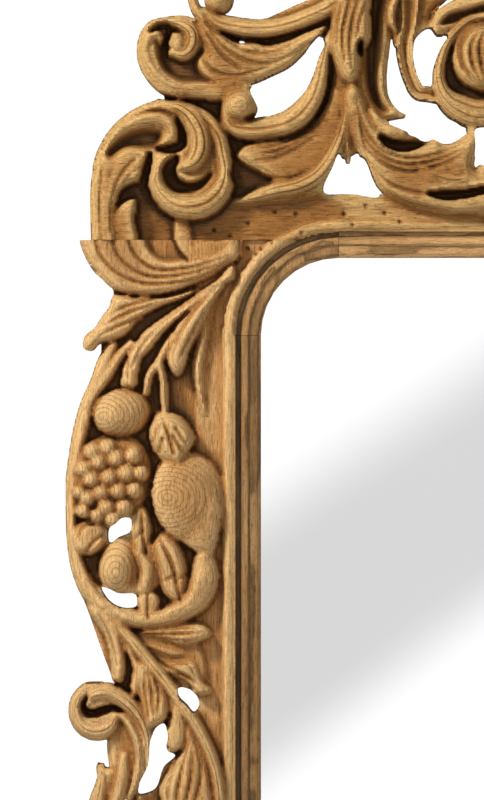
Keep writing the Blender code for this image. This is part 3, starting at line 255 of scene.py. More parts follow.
    def furrow(self, points):
        """Cuts a groove into what is already there: (u, v, half width, depth) along it."""
        rows = spline(points)
        w = self.round_rows(rows, rows[:, 2].max() + 2)
        if self.across[w].size == 0:
            return
        places = np.stack([self.across[w].ravel(), self.down[w].ravel()], 1)
        du = places[:, 0, None] - rows[None, :, 0]
        dv = places[:, 1, None] - rows[None, :, 1]
        away = np.hypot(du, dv)
        best = np.argmin(away, 1)
        form = self.across[w].shape
        q = (away[np.arange(len(places)), best] / np.maximum(rows[best, 2], 0.6)).reshape(form)
        deep = rows[best, 3].reshape(form) * np.clip(1 - q, 0, 1)
        height = self.height[w]
        # The cut mark paints shade along the groove.
        self.cut[w] = np.maximum(self.cut[w], np.clip(deep / 4, 0, 1))
        height[:] = np.where(deep > 0, np.maximum(height - deep, np.minimum(height, THINNEST)), height)

    def hole(self, u, v):
        """Pricks a worm or nail hole."""
        w = self.window((u - 3, v - 3), (u + 3, v + 3))
        near = np.hypot(self.across[w] - u, self.down[w] - v)
        self.height[w] -= 5 * np.clip(1 - near / 2.2, 0, 1)
        # The cut mark paints shade in the hole.
        self.cut[w] = np.maximum(self.cut[w], 2.5 * np.clip(1 - near / 2.4, 0, 1))

    def outline(self, points):
        """The signed distance to a closed smooth outline, positive inside, and the window it covers."""
        rows = spline(points, closed=True, step=OUTLINE_STEP)
        w = self.round_rows(rows, OUTLINE_MARGIN)
        places = np.stack([self.across[w].ravel(), self.down[w].ravel()], 1)
        inside = np.zeros(len(places), bool)
        nearest = np.full(len(places), 1e9)
        for a, b in zip(rows, np.roll(rows, -1, 0)):
            run = b - a
            crosses = (a[1] > places[:, 1]) != (b[1] > places[:, 1])
            if abs(run[1]) > 1e-12:
                inside ^= crosses & (places[:, 0] < run[0] * (places[:, 1] - a[1]) / run[1] + a[0])
            share = np.clip(((places - a) @ run) / max(run @ run, 1e-12), 0, 1)
            nearest = np.minimum(nearest, np.hypot(*(places - a - share[:, None] * run).T))
        return w, np.where(inside, nearest, -nearest).reshape(self.across[w].shape)

    def mass(self, points, height, soft=9.0, fall=6.0):
        """Fills an outline with a low mass of wood that rounds off towards its edge."""
        w, field = self.outline(points)
        raised = height - fall * (1 - np.clip(field / soft, 0, 1)) ** 2
        on_top = (field > 0) & (raised > self.height[w])
        self.wipe(w, on_top, self.ribbed, self.flat, self.ring)
        self.height[w] = np.where(on_top, raised, self.height[w])
        self.field[w] = np.maximum(self.field[w], field)

    def dish(self, points, low, soft):
        """Sinks an outline's inside to a low floor that rises to its edge over a soft width."""
        w, field = self.outline(points)
        share = np.clip(field / soft, 0, 1)
        share = share * share * (3 - 2 * share)
        sunk = np.minimum(self.height[w], low * share + self.height[w] * (1 - share))
        self.height[w] = np.where(field > 0, sunk, self.height[w])
        self.wipe(w, field > 0, self.ribbed)

    def scoop(self, points):
        """Hollows a dark pocket out of the wood: (u, v, half width, height left)."""
        rows = spline(points)
        w = self.round_rows(rows, rows[:, 2].max() + 2)
        if self.across[w].size == 0:
            return
        away = np.hypot(self.across[w][..., None] - rows[:, 0], self.down[w][..., None] - rows[:, 1])
        best = np.argmin(away / rows[:, 2], -1)
        q = np.take_along_axis(away, best[..., None], -1)[..., 0] / rows[best, 2]
        left = rows[best, 3] + 60 * np.clip(q - 0.45, 0, 1) ** 2
        self.height[w] = np.where(q < 1, np.minimum(self.height[w], left), self.height[w])

    def slab(self, low, high, height):
        """Fills a rectangle with board left flat at a height."""
        sides = [self.across - low[0], high[0] - self.across, self.down - low[1], high[1] - self.down]
        reach = np.minimum.reduce(sides)
        self.flat = np.where((reach > 0) & (height > self.height), 1.0, self.flat)
        self.height = np.where(reach > 0, np.maximum(self.height, height), self.height)
        self.field = np.maximum(self.field, reach)

    def pierce(self, points):
        """Opens an outline right through the board."""
        w, field = self.outline(points)
        self.field[w] = np.minimum(self.field[w], -field)

    def open_sight(self):
        """Opens the rounded opening that the liner stands in."""
        edge_u = SHEET_SIGHT_SIDE - LINER_WIDTH
        edge_v = SHEET_SIGHT_TOP - LINER_WIDTH
        radius = SIGHT_RADIUS + LINER_WIDTH
        in_u = self.across - edge_u - radius
        in_v = self.down - edge_v - radius
        corner = radius - ARC_TUCK - np.hypot(np.minimum(in_u, 0), np.minimum(in_v, 0))
        straight = np.minimum(self.across - edge_u, self.down - edge_v) - EDGE_TUCK
        field = np.where((in_u < 0) & (in_v < 0), corner, straight)
        self.field = np.minimum(self.field, -field)


def blurred(values, rounds):
    """Values with each blended into its neighbours a number of times."""
    for _ in range(rounds):
        padded = np.pad(values, 1, mode="edge")
        near = padded[2:, 1:-1] + padded[:-2, 1:-1] + padded[1:-1, 2:] + padded[1:-1, :-2]
        values = (values + near) / 5
    return values


# The drawing

SHELL_LOBES = ((0, 112, 11), (26, 106, 11), (50, 92, 11), (70, 74, 10))
GRAPES = ((92.6, 452, 7.5), (108, 448, 8), (99, 462, 8.5), (116, 458.5, 9), (133, 456, 8),
          (84.5, 469, 7.5), (92, 479, 8.5), (109, 477, 9), (126, 473, 9.5), (140.6, 473, 7.5),
          (101, 492.6, 8.5), (118, 490.6, 8.5), (134, 489.6, 8), (87.5, 498, 7.5), (79.4, 492.6, 5.5),
          (106, 507, 8.5), (124, 507, 8), (83.5, 511, 6.5), (97, 515, 6.5), (113, 519, 7.5))


def draw_corner(sheet):
    """The corner block: its C scroll, the ring that it curls into, and the lobes inside it."""
    stroke, mass, furrow = sheet.stroke, sheet.mass, sheet.furrow
    mass([(91, 300), (91, 240), (91, 185), (97, 150), (110, 130), (140, 108), (190, 104), (236, 112),
          (262, 130), (318, 128), (332, 150), (330, 200), (352, 300)], 16)
    mass([(196, 207), (232, 197), (280, 198), (318, 192), (340, 192), (340, 262), (176, 262),
          (184, 232)], 28, 5, 2)
    sheet.slab((322, 194), (620, 262), 28)
    mass([(164, 90), (232, 92), (244, 118), (226, 124), (190, 108), (166, 104)], 18, 5, 3)
    mass([(91, 300), (91, 240), (91, 182), (95, 158), (105, 136), (120, 119), (140, 106), (160, 100),
          (186, 104), (206, 114), (222, 132), (230, 152), (232, 178), (226, 200), (210, 216),
          (190, 221), (172, 217), (160, 206), (152, 192), (140, 181), (120, 193), (116, 206),
          (118, 300)], 45, 11, 9)
    sheet.dish([(103, 152), (114, 138), (130, 129), (152, 126), (164, 130), (160, 152), (126, 152),
                (108, 162)], 27, 9)
    furrow([(102, 152, 2, 4), (112, 133, 2, 5), (135, 116, 2, 5), (160, 111, 2, 5), (178, 118, 1.5, 3)])
    stroke([(106, 152, 2, 40), (113, 138, 4, 45), (126, 127, 6, 48), (142, 121, 7.5, 50),
            (159, 120, 8, 51), (170, 126, 7, 51), (171, 136, 5, 48), (163, 143, 2, 44)], peak=-0.3)
    mass([(104, 196), (107, 172), (118, 154), (131, 150), (147, 152), (145, 166), (140, 181),
          (131, 184), (122, 190), (117, 203), (118, 300), (102, 300), (102, 230)], 47, 9, 10)
    furrow([(136, 159, 2, 4), (125, 170, 2, 4), (117, 184, 2, 4), (111, 204, 2, 4), (111, 232, 1.5, 3)])
    furrow([(143, 166, 1.5, 3), (133, 173, 1.5, 3), (124, 183, 1.5, 3)])
    furrow([(102, 168, 2, 4), (100, 190, 2, 4), (101, 250, 2, 4)])
    mass([(135, 198), (124, 201), (117, 207), (116, 300), (146, 300), (139, 240), (135, 220)], 41, 7, 8)
    stroke([(160, 104, 5, 44), (186, 109, 8, 47), (206, 121, 9.5, 48), (219, 137, 9.5, 49),
            (223, 154, 8.5, 50), (226, 172, 9, 51), (221, 190, 12, 53), (208, 203, 14, 54),
            (192, 208, 13.5, 55), (176, 206, 12, 55), (163, 196, 10, 54), (156, 182, 8, 53),
            (157, 169, 6, 52), (164, 158, 5, 51), (174, 154, 3, 48)], peak=0.15, flutes=2, deep=1.6)
    stroke([(166, 105, 5, 45), (181, 109, 8, 49), (193, 120, 11, 53), (200, 135, 12, 56),
            (200, 151, 12.5, 57), (193, 163, 10, 57), (181, 168, 4, 53)], flutes=3, deep=1.8)
    sheet.scoop([(176, 158, 4, 20), (169, 170, 7, 16), (174, 183, 7, 16), (186, 188, 6, 18),
                 (201, 184, 4, 26), (211, 174, 2, 34)])
    sheet.scoop([(177, 120, 2, 26), (182, 133, 4, 18), (181, 144, 5, 15), (170, 149, 5, 15),
                 (158, 149, 3, 22)])
    sheet.scoop([(150, 154, 3, 20), (147, 168, 4, 14), (143, 188, 5, 14), (148, 204, 7, 15),
                 (156, 220, 8, 17), (150, 234, 6, 20)])
    sheet.scoop([(231, 130, 5, 16), (235, 142, 6, 14), (237, 154, 4, 16), (238, 178, 7, 14),
                 (248, 190, 6, 16)])
    stroke([(184, 256, 10, 36), (183, 234, 9.5, 37), (182, 222, 8, 35)], edge=0.85)


def draw_sweeping_leaves(sheet):
    """The band that ends in a ball, and the two leaves that sweep left under the trunk."""
    stroke, mass, furrow = sheet.stroke, sheet.mass, sheet.furrow
    mass([(312, 60), (322, 36), (338, 36), (345, 90), (334, 140), (300, 150), (262, 142), (310, 112)],
         20, 6, 4)
    mass([(236, 153), (244, 146), (262, 140), (290, 137), (312, 124), (326, 104), (334, 84), (348, 92),
          (349, 130), (340, 158), (331, 175), (324, 192), (300, 201), (276, 204), (236, 202),
          (254, 190), (272, 180), (262, 174)], 38, 9, 8)
    sheet.dish([(238, 166), (262, 174), (290, 176), (312, 168), (300, 178), (272, 181), (256, 189),
                (240, 196)], 16, 6)
    stroke([(236, 201, 2, 36), (254, 197, 6, 42), (275, 191, 9, 45), (298, 186, 10, 46),
            (317, 176, 10, 46), (329, 162, 9, 46), (338, 144, 8, 46), (344, 124, 6, 45),
            (347, 104, 4, 43)], flutes=3, deep=1.6, moat=0)
    for rise, start in ((0, 256), (7, 262), (14, 258)):
        furrow([(start, 160 - rise, 1.5, 2), (275, 158 - rise * 0.9, 2.2, 4.5),
                (297, 148 - rise * 0.8, 2.2, 4.5), (314, 136 - rise * 0.7, 2, 4),
                (328, 120 - rise * 0.6, 1.5, 3)])
    stroke([(229, 112, 9, 44), (231, 124, 10, 44), (246, 129, 11.5, 44), (266, 128, 12, 44),
            (285, 124, 12.5, 46), (299, 116, 13, 47), (310, 103, 12, 47), (317, 88, 11, 47),
            (321, 70, 9, 46), (325, 52, 6.5, 44), (330, 34, 5, 42)], peak=0.15, flutes=2, deep=1.2)
    furrow([(316, 118, 2, 6), (325, 100, 2.2, 7), (329, 80, 2.2, 7), (330, 56, 2, 6)])
    sheet.ball(239, 105, 19, 19, 54, edge=0.45, moat=1.2)
    sheet.scoop([(246, 119, 2, 30), (253, 117, 4, 24), (259, 112, 3, 26)])


def draw_upper_scroll(sheet):
    """The small scroll over the corner, its curled eye, its leaves and the branch above them."""
    stroke, mass, furrow = sheet.stroke, sheet.mass, sheet.furrow
    mass([(192, 18), (163, 17.5), (150, 21), (142, 30), (137, 45), (138, 62), (146, 78), (160, 92),
          (173, 98), (200, 100), (236, 100), (252, 90), (225, 60), (206, 40)], 44, 9, 8)
    sheet.dish([(153, 44), (150, 34), (158, 25), (172, 22), (196, 24), (200, 40), (206, 52), (200, 62),
                (206, 74), (220, 83), (196, 85), (180, 84), (164, 74), (156, 60)], 27, 7)
    stroke([(198, 20, 2, 42), (178, 20, 3, 45), (160, 23, 4.5, 46), (148, 33, 6, 47), (144, 47, 7, 47),
            (147, 61, 6.5, 47), (155, 73, 6, 47), (167, 83, 5, 46), (182, 89, 5, 45), (205, 91, 5, 44),
            (236, 90, 5, 43)], peak=-0.2, moat=1.0)
    stroke([(170, 22, 3, 45), (183, 25, 7, 48), (192, 33, 9.5, 50), (192, 45, 10, 51), (184, 54, 8, 50),
            (173, 53, 5, 48)], flutes=3, deep=1.4, moat=1.2)
    sheet.ball(177, 43, 9, 11, 50, edge=0.8, turn=-20, moat=1.2)
    stroke([(146, 46, 4, 46), (150, 38, 5, 49), (157, 35, 4.5, 49), (161, 41, 3.5, 47)], moat=1.2)
    sheet.scoop([(151, 31, 2, 26), (160, 26, 3.5, 18), (168, 27, 3.5, 18), (168, 36, 3.5, 14),
                 (164, 46, 3, 18), (167, 56, 2.5, 24)])
    mass([(206, 20), (240, 24), (330, 4), (334, 26), (322, 36), (290, 50), (250, 54), (220, 44)], 24, 5,
         4)
    mass([(201, 17), (197, 26), (199, 40), (206, 51), (200, 59), (205, 71), (218, 79), (236, 84),
          (253, 83), (270, 76), (290, 66), (308, 49), (321, 36), (328, 26), (308, 31), (283, 42),
          (263, 45), (250, 40), (240, 42), (228, 37), (213, 27)], 47, 10, 9)
    furrow([(202, 26, 1.5, 3), (212, 41, 2.2, 5), (224, 57, 2.2, 5), (240, 69, 2, 4)])
    furrow([(211, 33, 1.5, 3), (226, 49, 2, 4), (246, 61, 2, 4), (270, 64, 2, 4), (294, 54, 2, 4),
            (312, 41, 1.5, 2)])
    furrow([(203, 60, 1.5, 3), (212, 70, 2, 4), (230, 76, 2, 4), (252, 73, 2, 4), (274, 65, 1.5, 2)])
    furrow([(227, 41, 1.5, 3), (246, 51, 2, 4), (268, 53, 2, 4), (292, 45, 2, 3), (312, 34, 1.5, 2)])
    stroke([(204, 12, 5, 42), (218, 22, 9, 44), (238, 27, 10, 45), (260, 29, 10, 45), (283, 26, 10, 45),
            (306, 18, 10, 46), (328, 8, 10, 46), (346, -5, 11, 46), (362, -24, 10, 44)], peak=0.1,
           flutes=2, deep=1.2)
    furrow([(222, 33, 1.5, 5), (238, 41, 3, 14), (252, 42, 3, 12), (275, 38, 2, 6), (300, 30, 1.5, 4)])
    stroke([(194, -30, 6, 40), (193, 0, 5, 43), (198, 12, 5, 44), (204, 20, 3, 42)])
    sheet.ball(219, -3, 15, 17, 50, moat=1.4)
    stroke([(213, -24, 12, 42), (228, -46, 11, 43), (250, -52, 11, 44), (263, -42, 9, 45),
            (258, -29, 7, 45)], flutes=3)
    sheet.ball(243, -33, 10, 10, 50, edge=0.55)


def draw_trunk(sheet):
    """The trunk with its hanging leaf, its hollow flank and the leaves at its head."""
    stroke, mass, furrow = sheet.stroke, sheet.mass, sheet.furrow
    mass([(328, 40), (334, -10), (352, -60), (396, -60), (392, 30), (389, 56), (387, 82), (390, 99),
          (398, 110), (407, 116), (398, 118), (385, 121), (372, 130), (360, 150), (342, 158),
          (330, 120), (332, 80)], 34, 7, 8)
    sheet.dish([(362, 60), (366, 0), (370, -50), (386, -50), (384, 20), (382, 60), (381, 88),
                (388, 104), (396, 112), (384, 115), (372, 106), (365, 90)], 15, 9)
    furrow([(382, 20, 1.5, 2), (380, 60, 1.5, 2), (379, 90, 1.5, 2), (388, 108, 1.5, 2)])
    stroke([(352, 88, 6, 45), (348, 110, 7, 46), (347, 136, 6, 44), (348.5, 164, 1.5, 38)], "ridge",
           0.75, moat=1.2)
    mass([(330, 30), (336, -10), (350, -44), (372, -46), (371, 10), (368, 45), (362, 50), (361, 66),
          (358, 78), (351, 84), (343, 80), (335, 66), (330, 50)], 53, 12, 13)
    furrow([(352, -6, 1.5, 3), (347, 12, 2, 5), (342, 36, 2, 5), (344, 62, 1.5, 3)])
    furrow([(359, 0, 1.5, 3), (353, 18, 2, 5), (350, 38, 2, 5), (351, 68, 1.5, 3)])
    furrow([(342, 4, 1.5, 3), (337, 22, 2, 4), (336, 44, 1.5, 3)])
    furrow([(366, 4, 1.5, 3), (360, 20, 2, 4), (357, 38, 1.5, 3)])
    sheet.scoop([(361, 43, 2.5, 16), (359.5, 49, 3, 14), (361, 54, 2, 18)])
    stroke([(398, -6, 4, 44), (392, 10, 4.5, 46), (392, 22, 4, 46), (395, 30, 2, 42)], moat=1.5)


def draw_right_leaf(sheet):
    """The broad leaf that hooks twice on its way from the trunk to the centre."""
    stroke, mass, furrow = sheet.stroke, sheet.mass, sheet.furrow
    mass([(350, 84), (358, 84), (364, 95), (371, 110), (381, 122), (399, 127), (407, 134), (415, 137),
          (428, 141), (436, 138), (444, 144), (452, 143), (461, 138), (469, 130), (477, 132),
          (476, 168), (500, 166), (600, 168), (600, 214), (484, 216), (436, 213), (411, 207),
          (391, 198), (381, 190), (371, 176), (359, 153), (350, 140)], 47, 13, 12)
    for low, far in ((0, 0), (9, 6), (18, 12)):
        furrow([(357 + low * 0.2, 104 + low * 1.2, 1.5, 2), (366, 132 + low * 0.9, 2.2, 4),
                (384, 151 + low * 0.7, 2.4, 5), (406, 158 + low * 0.75, 2.4, 5),
                (430, 156 + far, 2.4, 5), (450, 149 + far, 2, 4), (466, 139 + far, 1.5, 2)])
    furrow([(366, 158, 1.5, 2), (384, 180, 2.2, 4), (404, 190, 2.4, 5), (424, 194, 2, 4)])
    furrow([(372, 178, 1.5, 2), (392, 195, 1.8, 3), (420, 206, 1.8, 3), (450, 210, 1.8, 3),
            (500, 208, 1.8, 3)])
    stroke([(424, 200, 5, 42), (450, 206, 7, 45), (484, 205, 8, 46), (520, 203, 8, 45),
            (580, 200, 8, 43)], moat=1.2)
    stroke([(420, 168, 6, 46), (440, 178, 8, 49), (455, 181, 9, 50), (465, 179, 5, 49)], flutes=2,
           deep=1.4, moat=1.4)
    stroke([(372, 112, 4, 44), (380, 124, 7, 47), (391, 131, 7.5, 49), (402, 134, 5, 48)], moat=1.2)
    sheet.scoop([(381, 137, 2.5, 18), (390, 143, 5, 11), (403, 146, 6, 10), (416, 144, 5, 11),
                 (429, 141, 2, 18)])
    sheet.scoop([(428, 193.5, 1.5, 28), (440, 195, 4.5, 19), (455, 195, 5, 16), (470, 193, 4.5, 17),
                 (484, 190, 4, 19), (504, 188, 3, 22)])
    stroke([(472, 118, 4, 40), (472, 132, 5, 41), (471, 150, 5, 42)], edge=0.8)
    stroke([(484, 172, 8, 44), (515, 171, 8, 45), (560, 172, 8, 43)], flutes=2, deep=1.2)


def draw_volute(sheet):
    """The crest's volute with its leafy bud, and the tendril and leaf tip beside it."""
    stroke, mass, furrow = sheet.stroke, sheet.mass, sheet.furrow
    mass([(390, -60), (392, 30), (396, 46), (414, 42), (430, 28), (434, 12), (446, 0), (470, -20),
          (470, -60)], 32, 8, 8)
    stroke([(404, -40, 12, 40), (410, 0, 10, 41), (409, 25, 8, 41), (405, 45, 8.5, 40),
            (406, 60, 7.5, 40), (411, 78, 7, 40), (419, 92, 7, 41), (430, 94, 7, 42), (440, 97, 6, 43)],
           "hollow", 0.72, flutes=2, deep=1.2)
    sheet.ball(486, 66, 50, 56, 24, edge=0.9, moat=0.1)
    mass([(431, 38), (430, 24), (436, 12), (450, 2), (484, -8), (520, -4), (520, 22), (484, 12),
          (466, 17), (448, 32)], 44, 9, 8)
    sheet.dish([(438, 26), (446, 14), (466, 8), (500, 4), (500, 12), (470, 16), (450, 26)], 26, 5)
    stroke([(486, 16, 6, 43), (470, 20, 6, 44), (457, 30, 6, 45), (447, 43, 6, 46), (441, 58, 6.5, 47),
            (438.5, 74, 7, 48), (441, 88, 8.5, 49), (449, 100, 11, 50), (461, 108, 14, 51),
            (475, 113, 15, 52), (490, 113, 15, 52), (506, 106, 13, 50), (519, 94, 11, 49),
            (528, 78, 9, 48), (532, 60, 8, 47), (530, 42, 7, 46), (522, 27, 7, 45), (510, 17, 6, 44),
            (498, 13, 5, 43)], flutes=3, deep=1.6, moat=1.5)
    mass([(484, 22), (468, 26), (457, 37), (452, 52), (453, 68), (460, 81), (473, 90), (490, 92),
          (507, 84), (516, 66), (516, 46), (505, 28)], 58, 16, 20)
    for turn in (-1, 0, 1, 2):
        furrow([(478 + turn * 6, 30, 1.5, 2), (470 + turn * 9, 48, 2.2, 5), (472 + turn * 9, 66, 2.2, 5),
                (480 + turn * 5, 82, 1.5, 2)])
    furrow([(466, 32, 1.5, 3), (459, 46, 2.4, 6), (460, 64, 2.4, 6), (470, 80, 1.5, 3)])


def draw_plainer_top(sheet):
    """What rises over the view: running scrolls, a central drop and a low shell at the peak."""
    stroke = sheet.stroke
    stroke([(505, 116, 10, 40), (520, 130, 10, 42), (532, 148, 9, 42), (545, 168, 9, 40)], flutes=2)
    stroke([(378, -36, 10, 40), (392, -52, 10, 41), (418, -62, 10, 42), (450, -60, 10, 43),
            (482, -46, 10, 43), (508, -26, 10, 42), (526, -4, 9, 40), (534, 20, 8, 38)], flutes=3)
    stroke([(366, -20, 9, 38), (340, -34, 9, 39), (312, -42, 9, 40), (284, -46, 9, 40),
            (262, -56, 8, 40)], flutes=2)
    stroke([(300, -46, 6, 34), (318, -62, 9, 38), (344, -74, 10, 40), (372, -74, 9, 40),
            (392, -64, 8, 38)], flutes=2)
    stroke([(430, -62, 6, 34), (452, -82, 9, 38), (478, -94, 9, 40), (500, -92, 8, 40),
            (512, -82, 6, 38)], flutes=2)
    stroke([(452, -56, 7, 36), (468, -30, 9, 40), (476, -6, 8, 42), (480, 14, 6, 42)], flutes=2)
    stroke([(560, 200, 12, 36), (560, 168, 16, 42), (560, 130, 17, 46), (560, 92, 14, 48),
            (560, 60, 6, 46)], flutes=4)
    for across, rise, wide in SHELL_LOBES:
        stroke([(SHEET_CENTRE - across * 0.15, 30, 5, 42),
                (SHEET_CENTRE - across * 0.55, -20 - rise * 0.4, wide * 0.75, 48),
                (SHEET_CENTRE - across, -6 - rise, wide, 50),
                (SHEET_CENTRE - across, -16 - rise, wide * 0.6, 46)])
    sheet.ball(SHEET_CENTRE, 28, 17, 17, 54)


def draw_crest(sheet):
    """The pierced crest from the corner to the centre line."""
    draw_corner(sheet)
    draw_plainer_top(sheet)
    draw_upper_scroll(sheet)
    draw_sweeping_leaves(sheet)
    draw_volute(sheet)
    draw_right_leaf(sheet)
    draw_trunk(sheet)


def crest_openings():
    """The outlines that are cut right through the crest."""
    return (
        ((250, 88), (270, 79), (285, 72), (303, 55), (313, 41), (321, 34.5), (324, 38), (318, 60),
         (312, 78), (306, 90), (288, 107), (262, 115), (256, 104)),
        ((340, 153), (333, 166), (324, 192), (350, 193.5), (380, 195), (374, 179), (360, 156),
         (354, 158), (348.5, 163), (343, 158)),
        ((392, 52), (399, 66), (404, 81), (413, 96), (426, 102.5), (435, 102), (446, 115), (460, 123),
         (468, 131), (456, 140), (444, 144), (432, 139), (415, 136), (404, 131), (388, 123), (407, 116),
         (394, 103), (388, 85)),
        ((431, 27), (417, 36), (413, 51), (415, 68), (422, 83), (431, 85), (434, 68), (441, 48),
         (448, 34), (438, 35)),
        ((476, 128), (475, 145), (476, 160), (484, 166), (510, 166), (526, 160), (518, 146), (505, 130),
         (490, 126)),
        ((238, 40), (243, 39), (246, 42), (241, 44)),
    )


def draw_stile(sheet):
    """The stile from the corner to its middle: scroll, leaves, nest of fruit and lower hook."""
    draw_stile_leaves(sheet)
    draw_nest(sheet)
    draw_falling_leaves(sheet)


def draw_stile_leaves(sheet):
    """The C scroll that leaves the corner and the leaves that spring from it."""
    stroke, mass, furrow = sheet.stroke, sheet.mass, sheet.furrow
    sheet.slab((196, 200), (304, 870), 24)
    mass([(84, 180), (82, 250), (94, 272), (113, 290), (108, 312), (101, 345), (101, 370), (84, 412),
          (70, 465), (66, 505), (70, 560), (90, 618), (112, 678), (132, 720), (134, 900), (230, 920),
          (230, 180)], 20, 5, 4)
    mass([(80, 200), (81, 243), (87, 260), (99, 276), (113, 289), (138, 296), (168, 293), (199, 282),
          (228, 266), (242, 254), (236, 236), (236, 200)], 43, 10, 9)
    for k in range(3):
        furrow([(94 + k * 17, 236, 2, 4), (103 + k * 15, 259 - k * 4, 2.4, 5),
                (117 + k * 12, 273 - k * 6, 2.4, 5), (140 + k * 7, 283 - k * 7, 2.4, 5),
                (164 + k * 5, 284 - k * 7, 2.4, 5), (194, 279 - k * 6, 2, 4),
                (230, 264 - k * 4, 1.5, 2)])
    sheet.dish([(142, 236), (146, 250), (158, 262), (190, 262), (226, 250), (232, 236)], 30, 6)
    mass([(174, 226), (175, 240), (180, 252), (188, 260), (214, 259), (239, 257), (239, 226),
          (200, 222)], 40, 4, 2.5)
    furrow([(174, 240, 2, 6), (179, 251, 2, 7), (188, 261, 2, 6)])
    furrow([(194, 240, 1.5, 4), (193, 246, 1.5, 3)])
    furrow([(198, 241, 1.5, 4), (220, 240, 1.5, 4), (239, 240, 2, 6), (240, 250, 2, 7),
            (239, 258, 2, 6)])
    mass([(199, 289), (168, 296), (140, 297), (112, 297), (109, 307), (102, 316), (96, 326), (84, 338),
          (84, 349), (91, 351), (99, 344), (112, 341), (121, 338), (140, 320), (159, 308), (190, 295)],
         43, 9, 10)
    for rise in (0, 8, 15):
        furrow([(184, 297 - rise * 0.3, 1.5, 2), (160, 308 - rise * 0.7, 2.2, 4),
                (138, 318 - rise, 2.4, 5), (116, 328 - rise * 1.1, 2.2, 5),
                (96 + rise * 0.5, 338 - rise * 1.2, 1.5, 3)])
    mass([(150, 341), (158, 336), (166, 352), (160, 380), (146, 386), (143, 366)], 22, 4, 3)
    mass([(234, 266), (214, 282), (190, 298), (168, 314), (146, 330), (130, 350), (122, 372),
          (122, 388), (135, 388), (139, 372), (142, 360), (153, 347), (168, 329), (190, 310),
          (214, 290), (236, 274)], 45, 8, 9)
    furrow([(214, 286, 1.5, 3), (186, 305, 2.4, 5), (162, 324, 2.4, 5), (143, 345, 2.4, 5),
            (132, 368, 2, 4)])
    furrow([(126, 352, 1.5, 3), (128, 366, 2, 5), (128, 386, 1.5, 3)])
    stroke([(130, 344, 5, 38), (118, 358, 6, 40), (107, 376, 6, 40), (96, 394, 5, 38)], moat=1.5)
    mass([(228, 280), (206, 296), (190, 310), (174, 329), (168, 347), (166, 360), (170, 370),
          (177, 376), (184, 369), (190, 351), (203, 326), (214, 300)], 47, 9, 10)
    furrow([(210, 296, 1.5, 3), (198, 307, 2.2, 5), (184, 326, 2.4, 5), (175, 343, 2, 4)])
    furrow([(204, 312, 1.5, 3), (193, 332, 2.4, 5), (184, 350, 2.2, 4), (178, 364, 1.5, 2)])
    stroke([(224, 282, 2, 28), (212, 306, 5, 33), (203, 340, 6, 36), (198, 372, 6, 36),
            (201, 396, 4, 33), (205, 414, 1.5, 30)], "ridge", 0.8, moat=1.2)
    mass([(180, 380), (192, 362), (196, 392), (206, 416), (214, 440), (196, 432)], 20, 4, 2)


